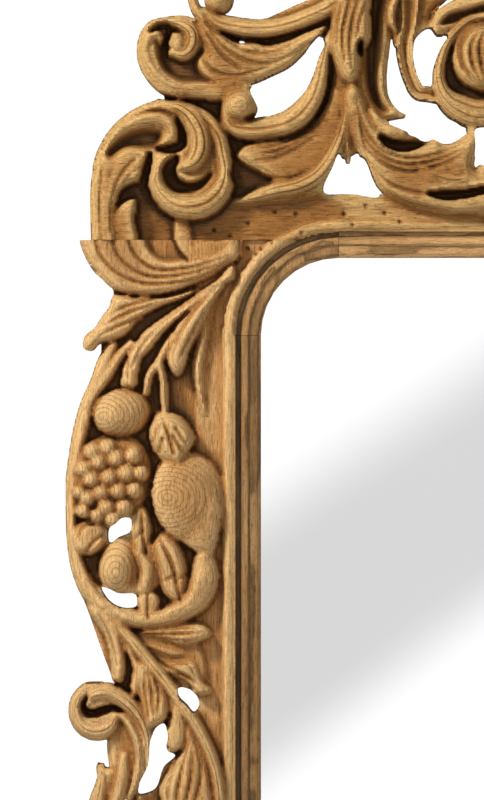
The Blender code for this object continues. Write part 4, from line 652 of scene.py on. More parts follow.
def draw_nest(sheet):
    """The nest's rim, the twigs, and the fruit and leaves that lie in it."""
    stroke, mass, furrow = sheet.stroke, sheet.mass, sheet.furrow
    stroke([(112, 346, 6, 36), (104, 362, 7, 38), (98, 382, 8, 39), (89, 402, 8, 39), (82, 425, 8, 38),
            (76, 452, 7, 38), (72, 480, 6.5, 37), (71, 510, 5.5, 36), (73, 545, 6, 37),
            (80, 572, 8, 39), (92, 594, 10, 42), (110, 612, 11, 44), (132, 619, 10, 45),
            (156, 620, 10, 46), (180, 612, 12, 47), (198, 597, 14, 47), (205, 577, 15, 47),
            (205, 560, 11, 45)], peak=-0.25, moat=1.5)
    furrow([(84, 560, 1.5, 2), (92, 582, 2, 4), (108, 600, 2, 4), (128, 610, 1.5, 2)])
    stroke([(172, 334, 3, 38), (165, 348, 4.5, 42), (159, 362, 5, 44), (150, 374, 4.5, 44),
            (146, 392, 4, 43)], moat=1.2)
    stroke([(159, 362, 5, 44), (163, 380, 4.5, 44), (165, 412, 4, 45)], moat=1.2)
    mass([(80, 448), (104, 436), (136, 438), (152, 466), (146, 500), (130, 518), (104, 527), (80, 516),
          (72, 490)], 40, 12, 10)
    sheet.ball(122, 413, 30, 25, 54, edge=0.5, turn=-12, tilt=(0.25, 0), rings=(104, 416))
    furrow([(101, 398, 1.5, 2), (94, 412, 2, 4), (98, 428, 1.5, 2)])
    for u, v, r in GRAPES:
        sheet.ball(u, v, r * 1.24, r * 1.24, 51 + 0.5 * r, edge=0.64, moat=0.8, sink=3,
                   rings=(u - 1.3 * r, v))
    mass([(152, 468), (190, 440), (232, 450), (232, 560), (196, 552), (160, 530)], 20, 5, 3)
    sheet.ball(190, 498, 48, 38, 56, edge=0.6, turn=76, tilt=(0.25, 0), rings=(168, 497))
    stroke([(192, 510, 30, 52), (198, 527, 22, 50), (204, 541, 13, 47), (210, 552, 4, 42)], edge=0.72,
           moat=1)
    mass([(160, 412), (175, 413), (186, 421), (195, 437), (190, 453), (182, 468), (166, 464),
          (152, 448), (149, 431)], 56, 13, 17)
    for points in (((163, 418), (169, 436), (174, 454)), ((159, 426), (153, 442)), ((163, 438), (159, 452)),
                   ((176, 428), (185, 442)), ((173, 436), (182, 450))):
        furrow([(u, v, 2, 6) for u, v in points])
    mass([(100, 556), (108, 542), (124, 534), (150, 540), (160, 556), (156, 590), (140, 596),
          (116, 594), (102, 580)], 38, 8, 8)
    sheet.ball(119, 566, 20, 28, 53, edge=0.5, turn=14, tilt=(0.15, 0), rings=(116, 572))
    stroke([(138, 552, 6, 44), (147, 568, 9, 46), (144, 588, 8, 44)], moat=1.2)
    mass([(72, 532), (84, 520), (100, 518), (108, 530), (104, 548), (90, 556), (74, 552)], 44, 9, 14)
    furrow([(78, 536, 2, 6), (84, 526, 2, 6), (94, 524, 2, 5)])
    furrow([(86, 552, 2, 6), (94, 542, 2, 6), (104, 534, 2, 5)])
    mass([(130, 514), (144, 506), (151, 520), (150, 545), (146, 560), (136, 556), (130, 540)], 43, 9, 12)
    furrow([(142, 512, 2, 5), (143, 532, 2.4, 7), (146, 554, 2, 5)])
    furrow([(144, 530, 1.5, 4), (136, 538, 2, 5)])
    mass([(138, 596), (150, 590), (160, 598), (158, 612), (148, 622), (140, 614)], 43, 7, 9)
    furrow([(148, 594, 2, 5), (148, 618, 2, 5)])
    mass([(153, 541), (163, 532), (174, 536), (187, 562), (188, 588), (180, 606), (164, 596),
          (156, 574)], 45, 11, 16)
    furrow([(160, 540, 2, 5), (172, 564, 2.4, 7), (180, 600, 2, 5)])
    furrow([(176, 574, 1.5, 4), (166, 580, 2, 5)])
    furrow([(178, 580, 1.5, 4), (186, 574, 2, 5)])


def draw_falling_leaves(sheet):
    """The leaves below the nest, the stem that falls to the stile's middle, and the lower hook."""
    stroke, mass, furrow = sheet.stroke, sheet.mass, sheet.furrow
    mass([(150, 622), (200, 620), (230, 640), (230, 870), (208, 868), (200, 740), (170, 690),
          (130, 650)], 24, 5, 3)
    mass([(128, 640), (150, 634), (196, 640), (204, 682), (178, 686), (150, 662)], 33, 6, 4)
    for root, tip in (((134, 634), (212, 634)), ((140, 650), (212, 691))):
        mid = ((root[0] + tip[0]) / 2, (root[1] + tip[1]) / 2)
        tilt = (tip[1] - root[1]) * 0.15
        upper = [(mid[0] - 8, mid[1] - 8 - tilt * 0.3), (mid[0] + 18, mid[1] - 11 + tilt * 0.3)]
        end = [(tip[0] - 8, tip[1] - 9), tip, (tip[0] - 12, tip[1] + 8 - tilt * 0.4)]
        lower = [(mid[0] + 10, mid[1] + 12 - tilt * 0.2), (mid[0] - 12, mid[1] + 5)]
        mass([root] + upper + end + lower, 44, 8, 10)
        furrow([(*root, 2, 4), (*mid, 2.4, 6), (tip[0] - 6, tip[1] - 1, 1.5, 3)])
        for side in (-6, 6):
            furrow([(mid[0] - 10, mid[1] + side * 0.6, 1.5, 2), (mid[0] + 12, mid[1] + side, 2, 4),
                    (tip[0] - 14, tip[1] + side * 0.8, 1.5, 2)])
    mass([(140, 642), (158, 643), (176, 648), (186, 654), (176, 658), (156, 652)], 38, 5, 6)
    mass([(90, 606), (104, 606), (121, 624), (124, 645), (126, 668), (120, 684), (114, 682), (111, 664),
          (106, 640)], 42, 8, 9)
    furrow([(100, 616, 1.5, 3), (110, 638, 2.4, 5), (117, 666, 2, 4)])
    mass([(118, 628), (130, 640), (140, 664), (142, 686), (133, 701), (130, 688), (132, 668),
          (124, 648)], 44, 7, 9)
    mass([(140, 660), (150, 660), (163, 682), (170, 700), (166, 720), (156, 726), (150, 730),
          (142, 718), (139, 700)], 50, 10, 12)
    for across in (-7, 0, 7):
        furrow([(148 + across * 0.4, 668, 1.5, 2), (152 + across, 692, 2.2, 5),
                (153 + across * 0.6, 716, 1.5, 3)])
    mass([(168, 692), (182, 706), (188, 730), (183, 748), (170, 752), (167, 738), (170, 712)], 46, 8, 9)
    mass([(186, 722), (204, 750), (212, 780), (214, 812), (186, 830), (164, 826), (162, 806),
          (160, 790), (172, 766), (182, 748)], 46, 10, 10)
    for across in (-14, -5, 5, 14):
        furrow([(190 + across * 0.25, 738, 1.5, 2), (187 + across, 768, 2.2, 5),
                (182 + across, 798, 2.2, 5), (180 + across * 0.6, 820, 1.5, 2)])
    stroke([(108, 616, 6, 40), (128, 636, 7, 46), (150, 662, 7.5, 50), (176, 695, 7.5, 50),
            (198, 728, 7, 49), (214, 764, 7, 47), (220, 800, 7, 44), (222, 880, 7, 42)], flutes=2,
           deep=1.4, moat=2.2)
    mass([(118, 700), (134, 704), (147, 720), (150, 742), (144, 770), (136, 794), (122, 800),
          (110, 770), (108, 730)], 36, 8, 9)
    stroke([(112, 714, 3, 42), (122, 716, 5, 46), (134, 732, 6, 47), (140, 756, 6, 46),
            (136, 780, 5, 44), (130, 796, 4, 42)], moat=2)
    mass([(98, 764), (106, 769), (113, 768), (119, 782), (116, 804), (104, 832), (86, 832), (91, 800),
          (97, 785)], 36, 6, 5)
    mass([(76, 694), (90, 688), (112, 698), (119, 712), (112, 726), (96, 731), (82, 724), (75, 708)],
         43, 9, 7)
    stroke([(140, 798, 4, 38), (146, 774, 4.5, 41), (148, 750, 5, 44), (145, 730, 7, 46),
            (136, 712, 9, 49), (122, 699, 9, 51), (104, 692, 8, 51), (91, 696, 6, 49), (87, 706, 4, 46),
            (92, 710, 2, 43)], flutes=3, deep=1.6, moat=1.8)
    stroke([(100, 686, 3, 40), (86, 689, 5, 43), (77, 700, 6.5, 45), (76, 716, 7, 46), (84, 728, 8, 47),
            (98, 732, 9, 47), (111, 726, 8, 46), (116, 718, 4, 43)], peak=-0.2, flutes=2, deep=1.2,
           moat=1.8)
    sheet.scoop([(87, 697, 2, 28), (83, 706, 3.4, 18), (90, 714, 4.4, 12), (102, 711, 4.4, 13),
                 (112, 708, 3.6, 16), (121, 711, 2, 26)])
    stroke([(124, 757, 6, 44), (122, 780, 8, 45), (116, 802, 8, 44), (114, 828, 7, 42)], moat=1.5)
    stroke([(102, 768, 2, 36), (101, 785, 6, 41), (97, 806, 9, 42), (98, 832, 9, 42),
            (108, 860, 9, 41)], flutes=2, deep=1.2, moat=1.5)


def stile_openings():
    """The outlines that are cut right through the stile."""
    return (
        ((122, 518), (130, 518), (130, 532), (118, 538), (110, 544), (110, 527), (115, 524)),
        ((101, 587), (108, 588), (118, 593), (136, 595), (136, 607), (126, 609), (112, 604),
         (105, 597)),
        ((178, 688), (188, 689), (196, 695), (199, 707), (194, 713.5), (187, 706), (178, 696)),
        ((157, 727), (163, 723.5), (168, 734), (167, 750), (175, 756), (164, 768), (153, 792),
         (138, 795), (139, 785), (147, 767), (150.5, 740)),
        ((150, 812), (160, 808), (160, 900), (140, 900), (138, 840)),
    )


def draw_apron(sheet):
    """The plainer bottom rail, drawn the other way up: a corner, running leaves and a low shell."""
    sheet.slab((322, 168), (620, 262), 22)
    draw_corner(sheet)
    stroke = sheet.stroke
    stroke([(342, 120, 5, 38), (352, 140, 9, 42), (372, 156, 11, 44), (404, 166, 11, 45),
            (436, 164, 9, 44), (452, 150, 7, 42), (446, 138, 5, 40)], flutes=3)
    stroke([(372, 178, 7, 38), (404, 190, 9, 41), (440, 194, 9, 42), (474, 186, 9, 43),
            (500, 168, 8, 43), (512, 150, 7, 42)], flutes=3)
    stroke([(440, 176, 6, 38), (468, 164, 9, 42), (486, 144, 8, 42), (486, 126, 5, 40)], flutes=2)
    for across, rise, wide in SHELL_LOBES:
        stroke([(SHEET_CENTRE - across * 0.15, 190, 5, 42),
                (SHEET_CENTRE - across * 0.6, 190 - rise * 0.5, wide * 0.8, 46),
                (SHEET_CENTRE - across, 190 - rise * 0.85, wide, 48),
                (SHEET_CENTRE - across, 196 - rise, wide * 0.6, 46)])
    sheet.ball(SHEET_CENTRE, 190, 15, 15, 52)


def draw_bead(sheet):
    """The bead that runs beside the liner and turns round the sight's corner."""
    half, crown = 6, 35
    radius = SIGHT_RADIUS + LINER_WIDTH + half
    centre = (SHEET_SIGHT_SIDE + SIGHT_RADIUS, SHEET_SIGHT_TOP + SIGHT_RADIUS)
    angles = np.linspace(0, np.pi / 2, 8)
    turn = [(centre[0] - radius * np.sin(t), centre[1] - radius * np.cos(t), half, crown) for t in angles]
    level, upright = turn[0][1], turn[-1][0]
    start = [(620, level, 4, 31), (450, level, 4, 31), (centre[0] + 14, level, 5.5, 34)]
    finish = [(upright, centre[1] + 14, half, crown), (upright, 900, half, crown)]
    sheet.stroke(start + turn + finish, edge=0.84, moat=1, sink=2)


# Boards

def largest_patch(keep):
    """The largest run of cells joined side to side, with no two cells that meet at a corner alone."""
    keep = keep.copy()
    for _ in range(12):
        a, b, c, d = keep[:-1, :-1], keep[1:, 1:], keep[1:, :-1], keep[:-1, 1:]
        falling = a & b & ~c & ~d
        rising = c & d & ~a & ~b
        if not (falling.any() or rising.any()):
            break
        keep[1:, :-1] |= falling
        keep[:-1, :-1] |= rising
    label = np.zeros(keep.shape, int)
    best, count, size = 0, 0, 0
    for start in zip(*np.nonzero(keep)):
        if label[start]:
            continue
        count += 1
        label[start] = count
        queue = [start]
        for i, j in queue:
            for near in ((i + 1, j), (i - 1, j), (i, j + 1), (i, j - 1)):
                inside = 0 <= near[0] < keep.shape[0] and 0 <= near[1] < keep.shape[1]
                if inside and keep[near] and not label[near]:
                    label[near] = count
                    queue.append(near)
        if len(queue) > size:
            best, size = count, len(queue)
    return label == best


def settled(sheet):
    """The board's kept cells, and the shift that brings its rim onto the outline."""
    field = sheet.field
    middle = (field[1:, 1:] + field[:-1, 1:] + field[1:, :-1] + field[:-1, :-1]) / 4
    keep = largest_patch(middle > 0)
    slope_u, slope_v = np.gradient(field, sheet.u, sheet.v)
    steep = np.maximum(slope_u**2 + slope_v**2, 0.25)
    reach = 0.45 * (sheet.u[1] - sheet.u[0])
    move_u = np.clip(-field * slope_u / steep, -reach, reach)
    move_v = np.clip(-field * slope_v / steep, -reach, reach)
    padded = np.pad(keep, 1).astype(int)
    corners = padded[1:, 1:] + padded[:-1, 1:] + padded[1:, :-1] + padded[:-1, :-1]
    rim = (corners > 0) & (corners < 4)
    side = np.zeros_like(rim)
    side[[0, -1], :] = True
    side[:, [0, -1]] = True
    rim &= ~(side & (field > reach))
    move_u[[0, -1], :] = 0
    move_v[:, [0, -1]] = 0
    return keep, np.where(rim, move_u, 0), np.where(rim, move_v, 0)


def front_height(sheet):
    """The carving's height carried a little past its outline, so that the rim has a full edge."""
    height = sheet.height
    solid = sheet.field > 0
    for _ in range(3):
        known = np.where(solid, height, 0.0)
        near = np.maximum.reduce([np.roll(known, way, axis) for axis in (0, 1) for way in (-1, 1)])
        height = np.where(solid, height, near)
        solid = height > 0
    return blurred(np.maximum(height, THINNEST), 1)


def hollowness(height, field):
    """How far each spot stands proud of what is round it: 0 deep in a hollow, 0.5 level, 1 on a ridge; the
    wood paints shade in hollows and highlights on ridges from it.
    """
    filled = np.where(field > 0, height, 6.0)
    near = blurred(filled, 12)
    far = blurred(near, 80)
    return np.clip(0.5 + (filled - near) / 16 + (filled - far) / 30, 0, 1)


def half_board(sheet, place):
    """The corners, marks, faces and back edges of half a board: its carved front, its rim and its rebate."""
    keep, move_u, move_v = settled(sheet)
    height = front_height(sheet)
    middle_u = (sheet.u[1:] + sheet.u[:-1]) / 2
    middle_v = (sheet.v[1:] + sheet.v[:-1]) / 2
    rebate = keep & (middle_u[:, None] > REBATE_SIDE) & (middle_v[None, :] > REBATE_TOP)
    # The proud mark from hollowness drives the wood's painted shade and painted highlights.
    grids = (hollowness(height, sheet.field), sheet.rib, blurred(sheet.ribbed, 1), sheet.cut, sheet.ring,
             blurred(sheet.flat, 2))
    corners = []
    marks = []
    ids = {}

    def spot(i, j, level):
        key = (i, j, level)
        if key not in ids:
            ids[key] = len(corners)
            x, z = place(sheet.u[i] + move_u[i, j], sheet.v[j] + move_v[i, j])
            if place.mirrored == "v" and j == keep.shape[1]:
                z = middle_height
            depth = {"front": height[i, j], "wall": 0.0, "rebate": REBATE_DEPTH}[level]
            corners.append((x, -depth / 1000, z))
            marks.append([grid[i, j] if level == "front" else BACK_MARK for grid in grids])
        return ids[key]

    faces = []
    back_edges = []
    last_u, last_v = keep.shape[0] - 1, keep.shape[1] - 1
    for i, j in zip(*np.nonzero(keep)):
        level = "rebate" if rebate[i, j] else "wall"
        ring = ((i, j), (i + 1, j), (i + 1, j + 1), (i, j + 1))
        faces.append([spot(*at, "front") for at in ring])
        if rebate[i, j]:
            faces.append([spot(*at, "rebate") for at in reversed(ring)])
        near = ((i, j - 1), (i + 1, j), (i, j + 1), (i - 1, j))
        for k in range(4):
            a, b = ring[k], ring[(k + 1) % 4]
            n = near[k]
            inside = 0 <= n[0] < keep.shape[0] and 0 <= n[1] < keep.shape[1]
            kept = inside and keep[n]
            at_plane = (k == 1 and i == last_u) if place.mirrored == "u" else (k == 2 and j == last_v)
            if not kept and not at_plane:
                faces.append([spot(*a, "front"), spot(*a, level), spot(*b, level), spot(*b, "front")])
            if level == "wall" and (not kept or rebate[n]):
                back_edges.append((spot(*a, "wall"), spot(*b, "wall")))
            if level == "wall" and kept and rebate[n]:
                faces.append([spot(*a, "wall"), spot(*b, "wall"), spot(*b, "rebate"), spot(*a, "rebate")])
    return corners, marks, faces, back_edges


def add_twin(bm, axis, level):
    """Turns half a board over about a level on one axis, and joins the two halves there."""
    geometry = bm.verts[:] + bm.edges[:] + bm.faces[:]
    twin = bmesh.ops.duplicate(bm, geom=geometry)["geom"]
    for vert in twin:
        if isinstance(vert, bmesh.types.BMVert):
            vert.co[axis] = 2 * level - vert.co[axis]
    bmesh.ops.reverse_faces(bm, faces=[item for item in twin if isinstance(item, bmesh.types.BMFace)])
    seam = [vert for vert in bm.verts if abs(vert.co[axis] - level) < MERGE_REACH]
    bmesh.ops.remove_doubles(bm, verts=seam, dist=MERGE_REACH)


def board_mesh(name, sheet, place, box, flip=False):
    """A whole board: a grid cut to the sheet's outline, its front lifted to the carving, its back closed."""
    corners, marks, faces, back_edges = half_board(sheet, place)
    mesh = bpy.data.meshes.new(name)
    bm = bmesh.new()
    layers = [bm.verts.layers.float.new(key) for key in ("proud", "rib", "ribbed", "cut", "ring", "flat")]
    verts = [bm.verts.new(corner) for corner in corners]
    for vert, row in zip(verts, marks):
        for layer, value in zip(layers, row):
            vert[layer] = value
    for face in faces:
        bm.faces.new([verts[k] for k in face])
    loops = []
    for a, b in back_edges:
        edge = bm.edges.get((verts[a], verts[b])) or bm.edges.new((verts[a], verts[b]))
        loops.append(edge)
    bmesh.ops.triangle_fill(bm, edges=loops, use_beauty=True, use_dissolve=False, normal=Vector((0, 1, 0)))
    if place.mirrored == "u":
        add_twin(bm, 0, 0.0)
    else:
        add_twin(bm, 2, middle_height)
    for vert in bm.verts:
        if flip:
            vert.co.x = -vert.co.x
        vert.co = [min(max(vert.co[k], box[0][k]), box[1][k]) for k in range(3)]
    bmesh.ops.recalc_face_normals(bm, faces=bm.faces[:])
    bm.to_mesh(mesh)
    bm.free()
    mesh.shade_smooth()
    mesh.set_sharp_from_angle(angle=SHARP_ANGLE)
    return mesh


class Place:
    """Where a sheet's points lie in the object: x, z in metres, and which way the half is mirrored."""

    def __init__(self, mirrored, turn_over=False):
        self.mirrored = mirrored
        self.turn_over = turn_over

    def __call__(self, u, v):
        x = (u - SHEET_CENTRE) / 1000
        z = sight_top + (SHEET_SIGHT_TOP - v) / 1000
        if self.turn_over:
            z = 2 * middle_height - z
        return x, z


# Shader graphs

class Signal:
    """A shader socket that takes part in sums."""

    def __init__(self, graph, socket):
        self.graph = graph
        self.socket = socket

    def maths(self, operation, *others):
        values = {0: self}
        for index, other in enumerate(others, start=1):
            values[index] = other
        return self.graph.node("ShaderNodeMath", {"operation": operation}, values)

    def __add__(self, other):
        return self.maths("ADD", other)

    def __radd__(self, other):
        return self.maths("ADD", other)

    def __sub__(self, other):
        return self.maths("SUBTRACT", other)

    def __rsub__(self, other):
        return (self * -1.0) + other

    def __mul__(self, other):
        return self.maths("MULTIPLY", other)

    def __rmul__(self, other):
        return self.maths("MULTIPLY", other)

    def __truediv__(self, other):
        return self.maths("DIVIDE", other)

    def __pow__(self, other):
        return self.maths("POWER", other)

    def between(self, low, high):
        """A smooth rise from 0 to 1 as the value goes from low to high."""
        settings = {"interpolation_type": "SMOOTHSTEP"}
        values = {"Value": self, "From Min": low, "From Max": high}
        return self.graph.node("ShaderNodeMapRange", settings, values)

    def fraction(self):
        return self.maths("FRACT")


class Graph:
    """A material's or the world's nodes."""

    def __init__(self, tree):
        self.tree = tree

    def node(self, kind, settings=None, values=None, output=0):
        """Adds a node, sets it up, and hands back one of its outputs."""
        made = self.tree.nodes.new(kind)
        for name, value in (settings or {}).items():
            setattr(made, name, value)
        for name, value in (values or {}).items():
            if isinstance(value, Signal):
                self.tree.links.new(value.socket, made.inputs[name])
            else:
                made.inputs[name].default_value = value
        return Signal(self, made.outputs[output])

    def place(self):
        return self.node("ShaderNodeTexCoord", output="Object")

    def attribute(self, name):
        return self.node("ShaderNodeAttribute", {"attribute_name": name}, output="Fac")

    def stretched(self, place, scale):
        return self.node("ShaderNodeVectorMath", {"operation": "MULTIPLY"}, {0: place, 1: scale})

    def noise(self, place, scale, detail=2.0, roughness=0.5):
        return self.node("ShaderNodeTexNoise", None,
                         {"Vector": place, "Scale": scale, "Detail": detail, "Roughness": roughness})

    def mix(self, share, first, second):
        values = {"Factor": share, 6: first, 7: second}
        return self.node("ShaderNodeMix", {"data_type": "RGBA"}, values, output=2)

    def blend(self, share, first, second):
        """One value turning into another by a share."""
        return (1.0 - share) * first + share * second

    def spot(self):
        """Where the shaded point is in the world: x, y and z."""
        position = self.node("ShaderNodeNewGeometry", output="Position")
        return [self.node("ShaderNodeSeparateXYZ", None, {0: position}, output=axis) for axis in "XYZ"]

    def shade(self, colour, share):
        """A colour made darker or lighter by a share."""
        return self.node("ShaderNodeVectorMath", {"operation": "SCALE"}, {0: colour, "Scale": share})


def principled(name, metallic=0.0, roughness=0.5, specular=0.5):
    """A new material with its graph and its Principled node."""
    made = bpy.data.materials.new(name)
    made.use_nodes = True
    shader = made.node_tree.nodes["Principled BSDF"]
    shader.inputs["Metallic"].default_value = metallic
    shader.inputs["Roughness"].default_value = roughness
    shader.inputs["Specular IOR Level"].default_value = specular
    return made, Graph(made.node_tree), shader


def join(graph, signal, shader, socket):
    graph.tree.links.new(signal.socket, shader.inputs[socket])


def wood(name, along, light, middle, dark, grey=0.0, carved=True, dull=0.0):
    """Bare wood with growth rings near the board's face and fibres along it, and on carved boards painted
    shade in its hollows and grooves and painted highlights on its ridges.
    """
    made, graph, shader = principled(name, specular=0.12)
    place = graph.place()
    long = (2.2, 26.0, 26.0) if along == "x" else (26.0, 26.0, 2.2)
    fine = (55.0, 620.0, 620.0) if along == "x" else (620.0, 620.0, 55.0)
    depth = graph.node("ShaderNodeSeparateXYZ", None, {0: place}, output="Y")
    sway = graph.noise(graph.stretched(place, long), 1.0, 2.0)
    patch = graph.noise(place, 9.0, 3.0)
    ring = ((sway - 0.5) * 3.4 + (patch - 0.5) * 2.4 + depth * 260.0).fraction()
    late = ring.between(0.35, 0.9) * (1.0 - ring.between(0.9, 1.0))
    fibre = graph.noise(graph.stretched(place, fine), 1.0, 3.0, 0.65)
    pores = graph.noise(graph.stretched(place, tuple(k * 1.7 for k in fine)), 1.0, 1.0).between(0.6, 0.7)
    colour = graph.mix(patch.between(0.3, 0.7), (*middle, 1.0), (*light, 1.0))
    relief = late * 0.3 + fibre * 0.8 - pores * 0.5 + graph.noise(place, 190.0, 3.0) * 0.9
    if carved:
        # Painted light: the marks below make ridges and level board lighter and hollows, grooves and holes
        # darker, as painted highlights and painted shade.
        proud = graph.attribute("proud")
        step = graph.attribute("rib").fraction()
        ribbed = graph.attribute("ribbed")
        between_ribs = 1.0 - step.between(0.0, 0.2) * (1.0 - step.between(0.8, 1.0))
        groove = between_ribs * ribbed + graph.attribute("cut")
        flat = graph.attribute("flat")
        # Painted light and shade: how lit each spot looks, from the proud, flat and groove marks, mixed with
        # the wood's random tone and fibres.
        painted_light_and_tone = proud + flat * 0.22 - (1.0 - flat) * dull
        painted_light_and_tone = painted_light_and_tone + (patch - 0.5) * 0.2 + (fibre - 0.5) * 0.16 - groove * 0.3
        colour = graph.mix(painted_light_and_tone.between(0.36, 0.9), (*middle, 1.0), (*light, 1.0))
        colour = graph.mix(painted_light_and_tone.between(0.04, 0.42), (*dark, 1.0), colour)
        # Painted shade: the deepest hollows take an even darker tone.
        deep = tuple(k * 0.42 for k in dark)
        colour = graph.mix(painted_light_and_tone.between(-0.1, 0.14), (*deep, 1.0), colour)
        relief = relief - groove * 1.6
        ring = graph.attribute("ring")
        turned = ((ring + (sway - 0.5) * 3.0) * 0.23).fraction()
        turned = turned.between(0.6, 0.88) * (1.0 - turned.between(0.88, 1.0))
        turned = turned * (1.0 - ring.between(26.0, 40.0) * 0.7)
        late = graph.blend(ring.between(0.2, 0.5), late * 0.4, turned * 0.8)
    grit = graph.noise(place, 420.0, 2.0)
    shade = (1.0 - late * 0.5) * ((fibre - 0.5) * 1.1 + 1.0) * ((grit - 0.5) * 0.5 + 1.0)
    colour = graph.shade(colour, shade * (1.0 - pores * 0.4))
    if grey:
        # Painted shade where the liner lies less than about 22 to 24.6 mm from the wall, over a streaky dark
        # greying along the grain.
        recess = 1.0 - (graph.spot()[1] * -1000.0).between(22.0, 24.6)
        greying_and_shade = graph.noise(graph.stretched(place, long), 1.6, 4.0, 0.7).between(0.35, 0.75) * grey
        greying_and_shade = graph.blend(recess * grey * 2.0, greying_and_shade, 0.9)
        colour = graph.mix(greying_and_shade, colour, (0.09, 0.065, 0.045, 1.0))
    join(graph, colour, shader, "Base Color")
    join(graph, (fibre * 0.2 + late * 0.08) + 0.5, shader, "Roughness")
    bump = graph.node("ShaderNodeBump", None, {"Strength": 0.7, "Distance": 0.001, "Height": relief})
    join(graph, bump, shader, "Normal")
    return made


def silvered():
    """Old silvered glass with the faintest cloud in its reflection, and painted shade where the liner covers
    it.
    """
    made, graph, shader = principled("mirror_silver", metallic=1.0, roughness=0.02)
    cloud = graph.noise(graph.place(), 5.0, 2.0)
    silver = graph.mix(cloud, (0.955, 0.957, 0.96, 1.0), (0.97, 0.97, 0.972, 1.0))
    spot = graph.spot()
    half_width = (SHEET_CENTRE - SHEET_SIGHT_SIDE) / 1000
    half_height = sight_top - middle_height
    beside = spot[0].maths("ABSOLUTE").between(half_width, half_width + GLASS_FADE)
    past = (spot[2] - middle_height).maths("ABSOLUTE").between(half_height, half_height + GLASS_FADE)
    covered = beside.maths("MAXIMUM", past)
    # Painted shade: the glass turns dark brown where the liner hides it.
    join(graph, graph.mix(covered, silver, (0.03, 0.02, 0.012, 1.0)), shader, "Base Color")
    join(graph, cloud * 0.02 + 0.012, shader, "Roughness")
    return made


def glowing(name, graph_colour, strength):
    """A panel that gives light, its colour worked out by graph_colour."""
    made, graph, shader = principled(name, roughness=1.0, specular=0.0)
    shader.inputs["Base Color"].default_value = (0.0, 0.0, 0.0, 1.0)
    join(graph, graph_colour(graph), shader, "Emission Color")
    shader.inputs["Emission Strength"].default_value = strength
    return made


# Pieces

def add_object(name, mesh, *materials):
    """Puts a mesh in the scene with its materials."""
    piece = bpy.data.objects.new(name, mesh)
    for finish in materials:
        mesh.materials.append(finish)
    bpy.context.scene.collection.objects.link(piece)
    return piece


def stand_for(piece, node):
    """Lets a piece take a solid's place, moving with the frame."""
    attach(piece, "root")
    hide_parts(node)


def finish_node(node, material):
    """Gives a solid that stays its finished material."""
    piece = bpy.data.objects[node]
    piece.data.materials.clear()
    piece.data.materials.append(material)


def panel_mesh(name, corners):
    """A flat four-cornered panel."""
    mesh = bpy.data.meshes.new(name)
    bm = bmesh.new()
    bm.faces.new([bm.verts.new(corner) for corner in corners])
    bm.to_mesh(mesh)
    bm.free()
    return mesh


def carved_finish(along):
    """The carved boards' wood, with its grain along x or z."""
    name = "carved_wood_" + along
    # light is the tone of painted highlights on ridges, middle the tone of level wood, dark the tone of
    # painted shade in hollows.
    tones = {"light": (0.60, 0.378, 0.168), "middle": (0.37, 0.172, 0.053), "dark": (0.16, 0.075, 0.027)}
    # Painted shade: the crest and bottom rail, with grain along x, get darker tones and more shade painted
    # on their carving than the stiles.
    if along == "x":
        tones.update(light=(0.53, 0.33, 0.132), middle=(0.285, 0.127, 0.035), dull=0.08)
    return bpy.data.materials.get(name) or wood(name, along, **tones)


def carve(sheet, draw, openings=(), holes=()):
    """Draws a board's carving and its bead, pricks its holes and cuts its openings."""
    draw(sheet)
    draw_bead(sheet)
    for spot in holes:
        sheet.hole(*spot)
    for points in openings:
        sheet.pierce(points)
    sheet.open_sight()


# Operators

class CARVED_OT_crest(bpy.types.Operator):
    """Carve the pierced crest with both corner volutes"""

    bl_idname = "mesh.carved_crest"
    bl_label = "Crest"

    def execute(self, context):
        step = context.scene.carved_mirror.grid_step * 1000
        across = (SHEET_LEFT, REBATE_SIDE, SHEET_CENTRE)
        sheet = Sheet(across, (CREST_PEAK, REBATE_TOP, SHEET_SEAM - SEAM_GAP), step)
        carve(sheet, draw_crest, crest_openings(), WORM_HOLES)
        mesh = board_mesh("carved_crest", sheet, Place("u"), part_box("crest"))
        stand_for(add_object("carved_crest", mesh, carved_finish("x")), "crest")
        return {"FINISHED"}


class CARVED_OT_rail(bpy.types.Operator):
    """Carve the plainer bottom rail"""

    bl_idname = "mesh.carved_rail"
    bl_label = "Bottom rail"

    def execute(self, context):
        step = context.scene.carved_mirror.grid_step * 1000
        across = (SHEET_LEFT, REBATE_SIDE, SHEET_CENTRE)
        sheet = Sheet(across, (APRON_PEAK, REBATE_TOP, SHEET_SEAM - SEAM_GAP), step)
        carve(sheet, draw_apron)
        mesh = board_mesh("carved_bottom_rail", sheet, Place("u", turn_over=True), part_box("bottom_rail"))
        stand_for(add_object("carved_bottom_rail", mesh, carved_finish("x")), "bottom_rail")
        return {"FINISHED"}


class CARVED_OT_stiles(bpy.types.Operator):
    """Carve the two stiles with their leaves, fruit and hooks"""

    bl_idname = "mesh.carved_stiles"
    bl_label = "Stiles"

    def execute(self, context):
        step = context.scene.carved_mirror.grid_step * 1000
        across = (SHEET_LEFT, REBATE_SIDE, STILE_EDGE)
        sheet = Sheet(across, (SHEET_SEAM + SEAM_GAP, SHEET_MIDDLE), step)
        carve(sheet, draw_stile, stile_openings(), WORM_HOLES)
        for side, flip in (("left", False), ("right", True)):
            mesh = board_mesh("carved_stile_" + side, sheet, Place("v"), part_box("stile_" + side), flip)
            stand_for(add_object("carved_stile_" + side, mesh, carved_finish("z")), "stile_" + side)
        return {"FINISHED"}


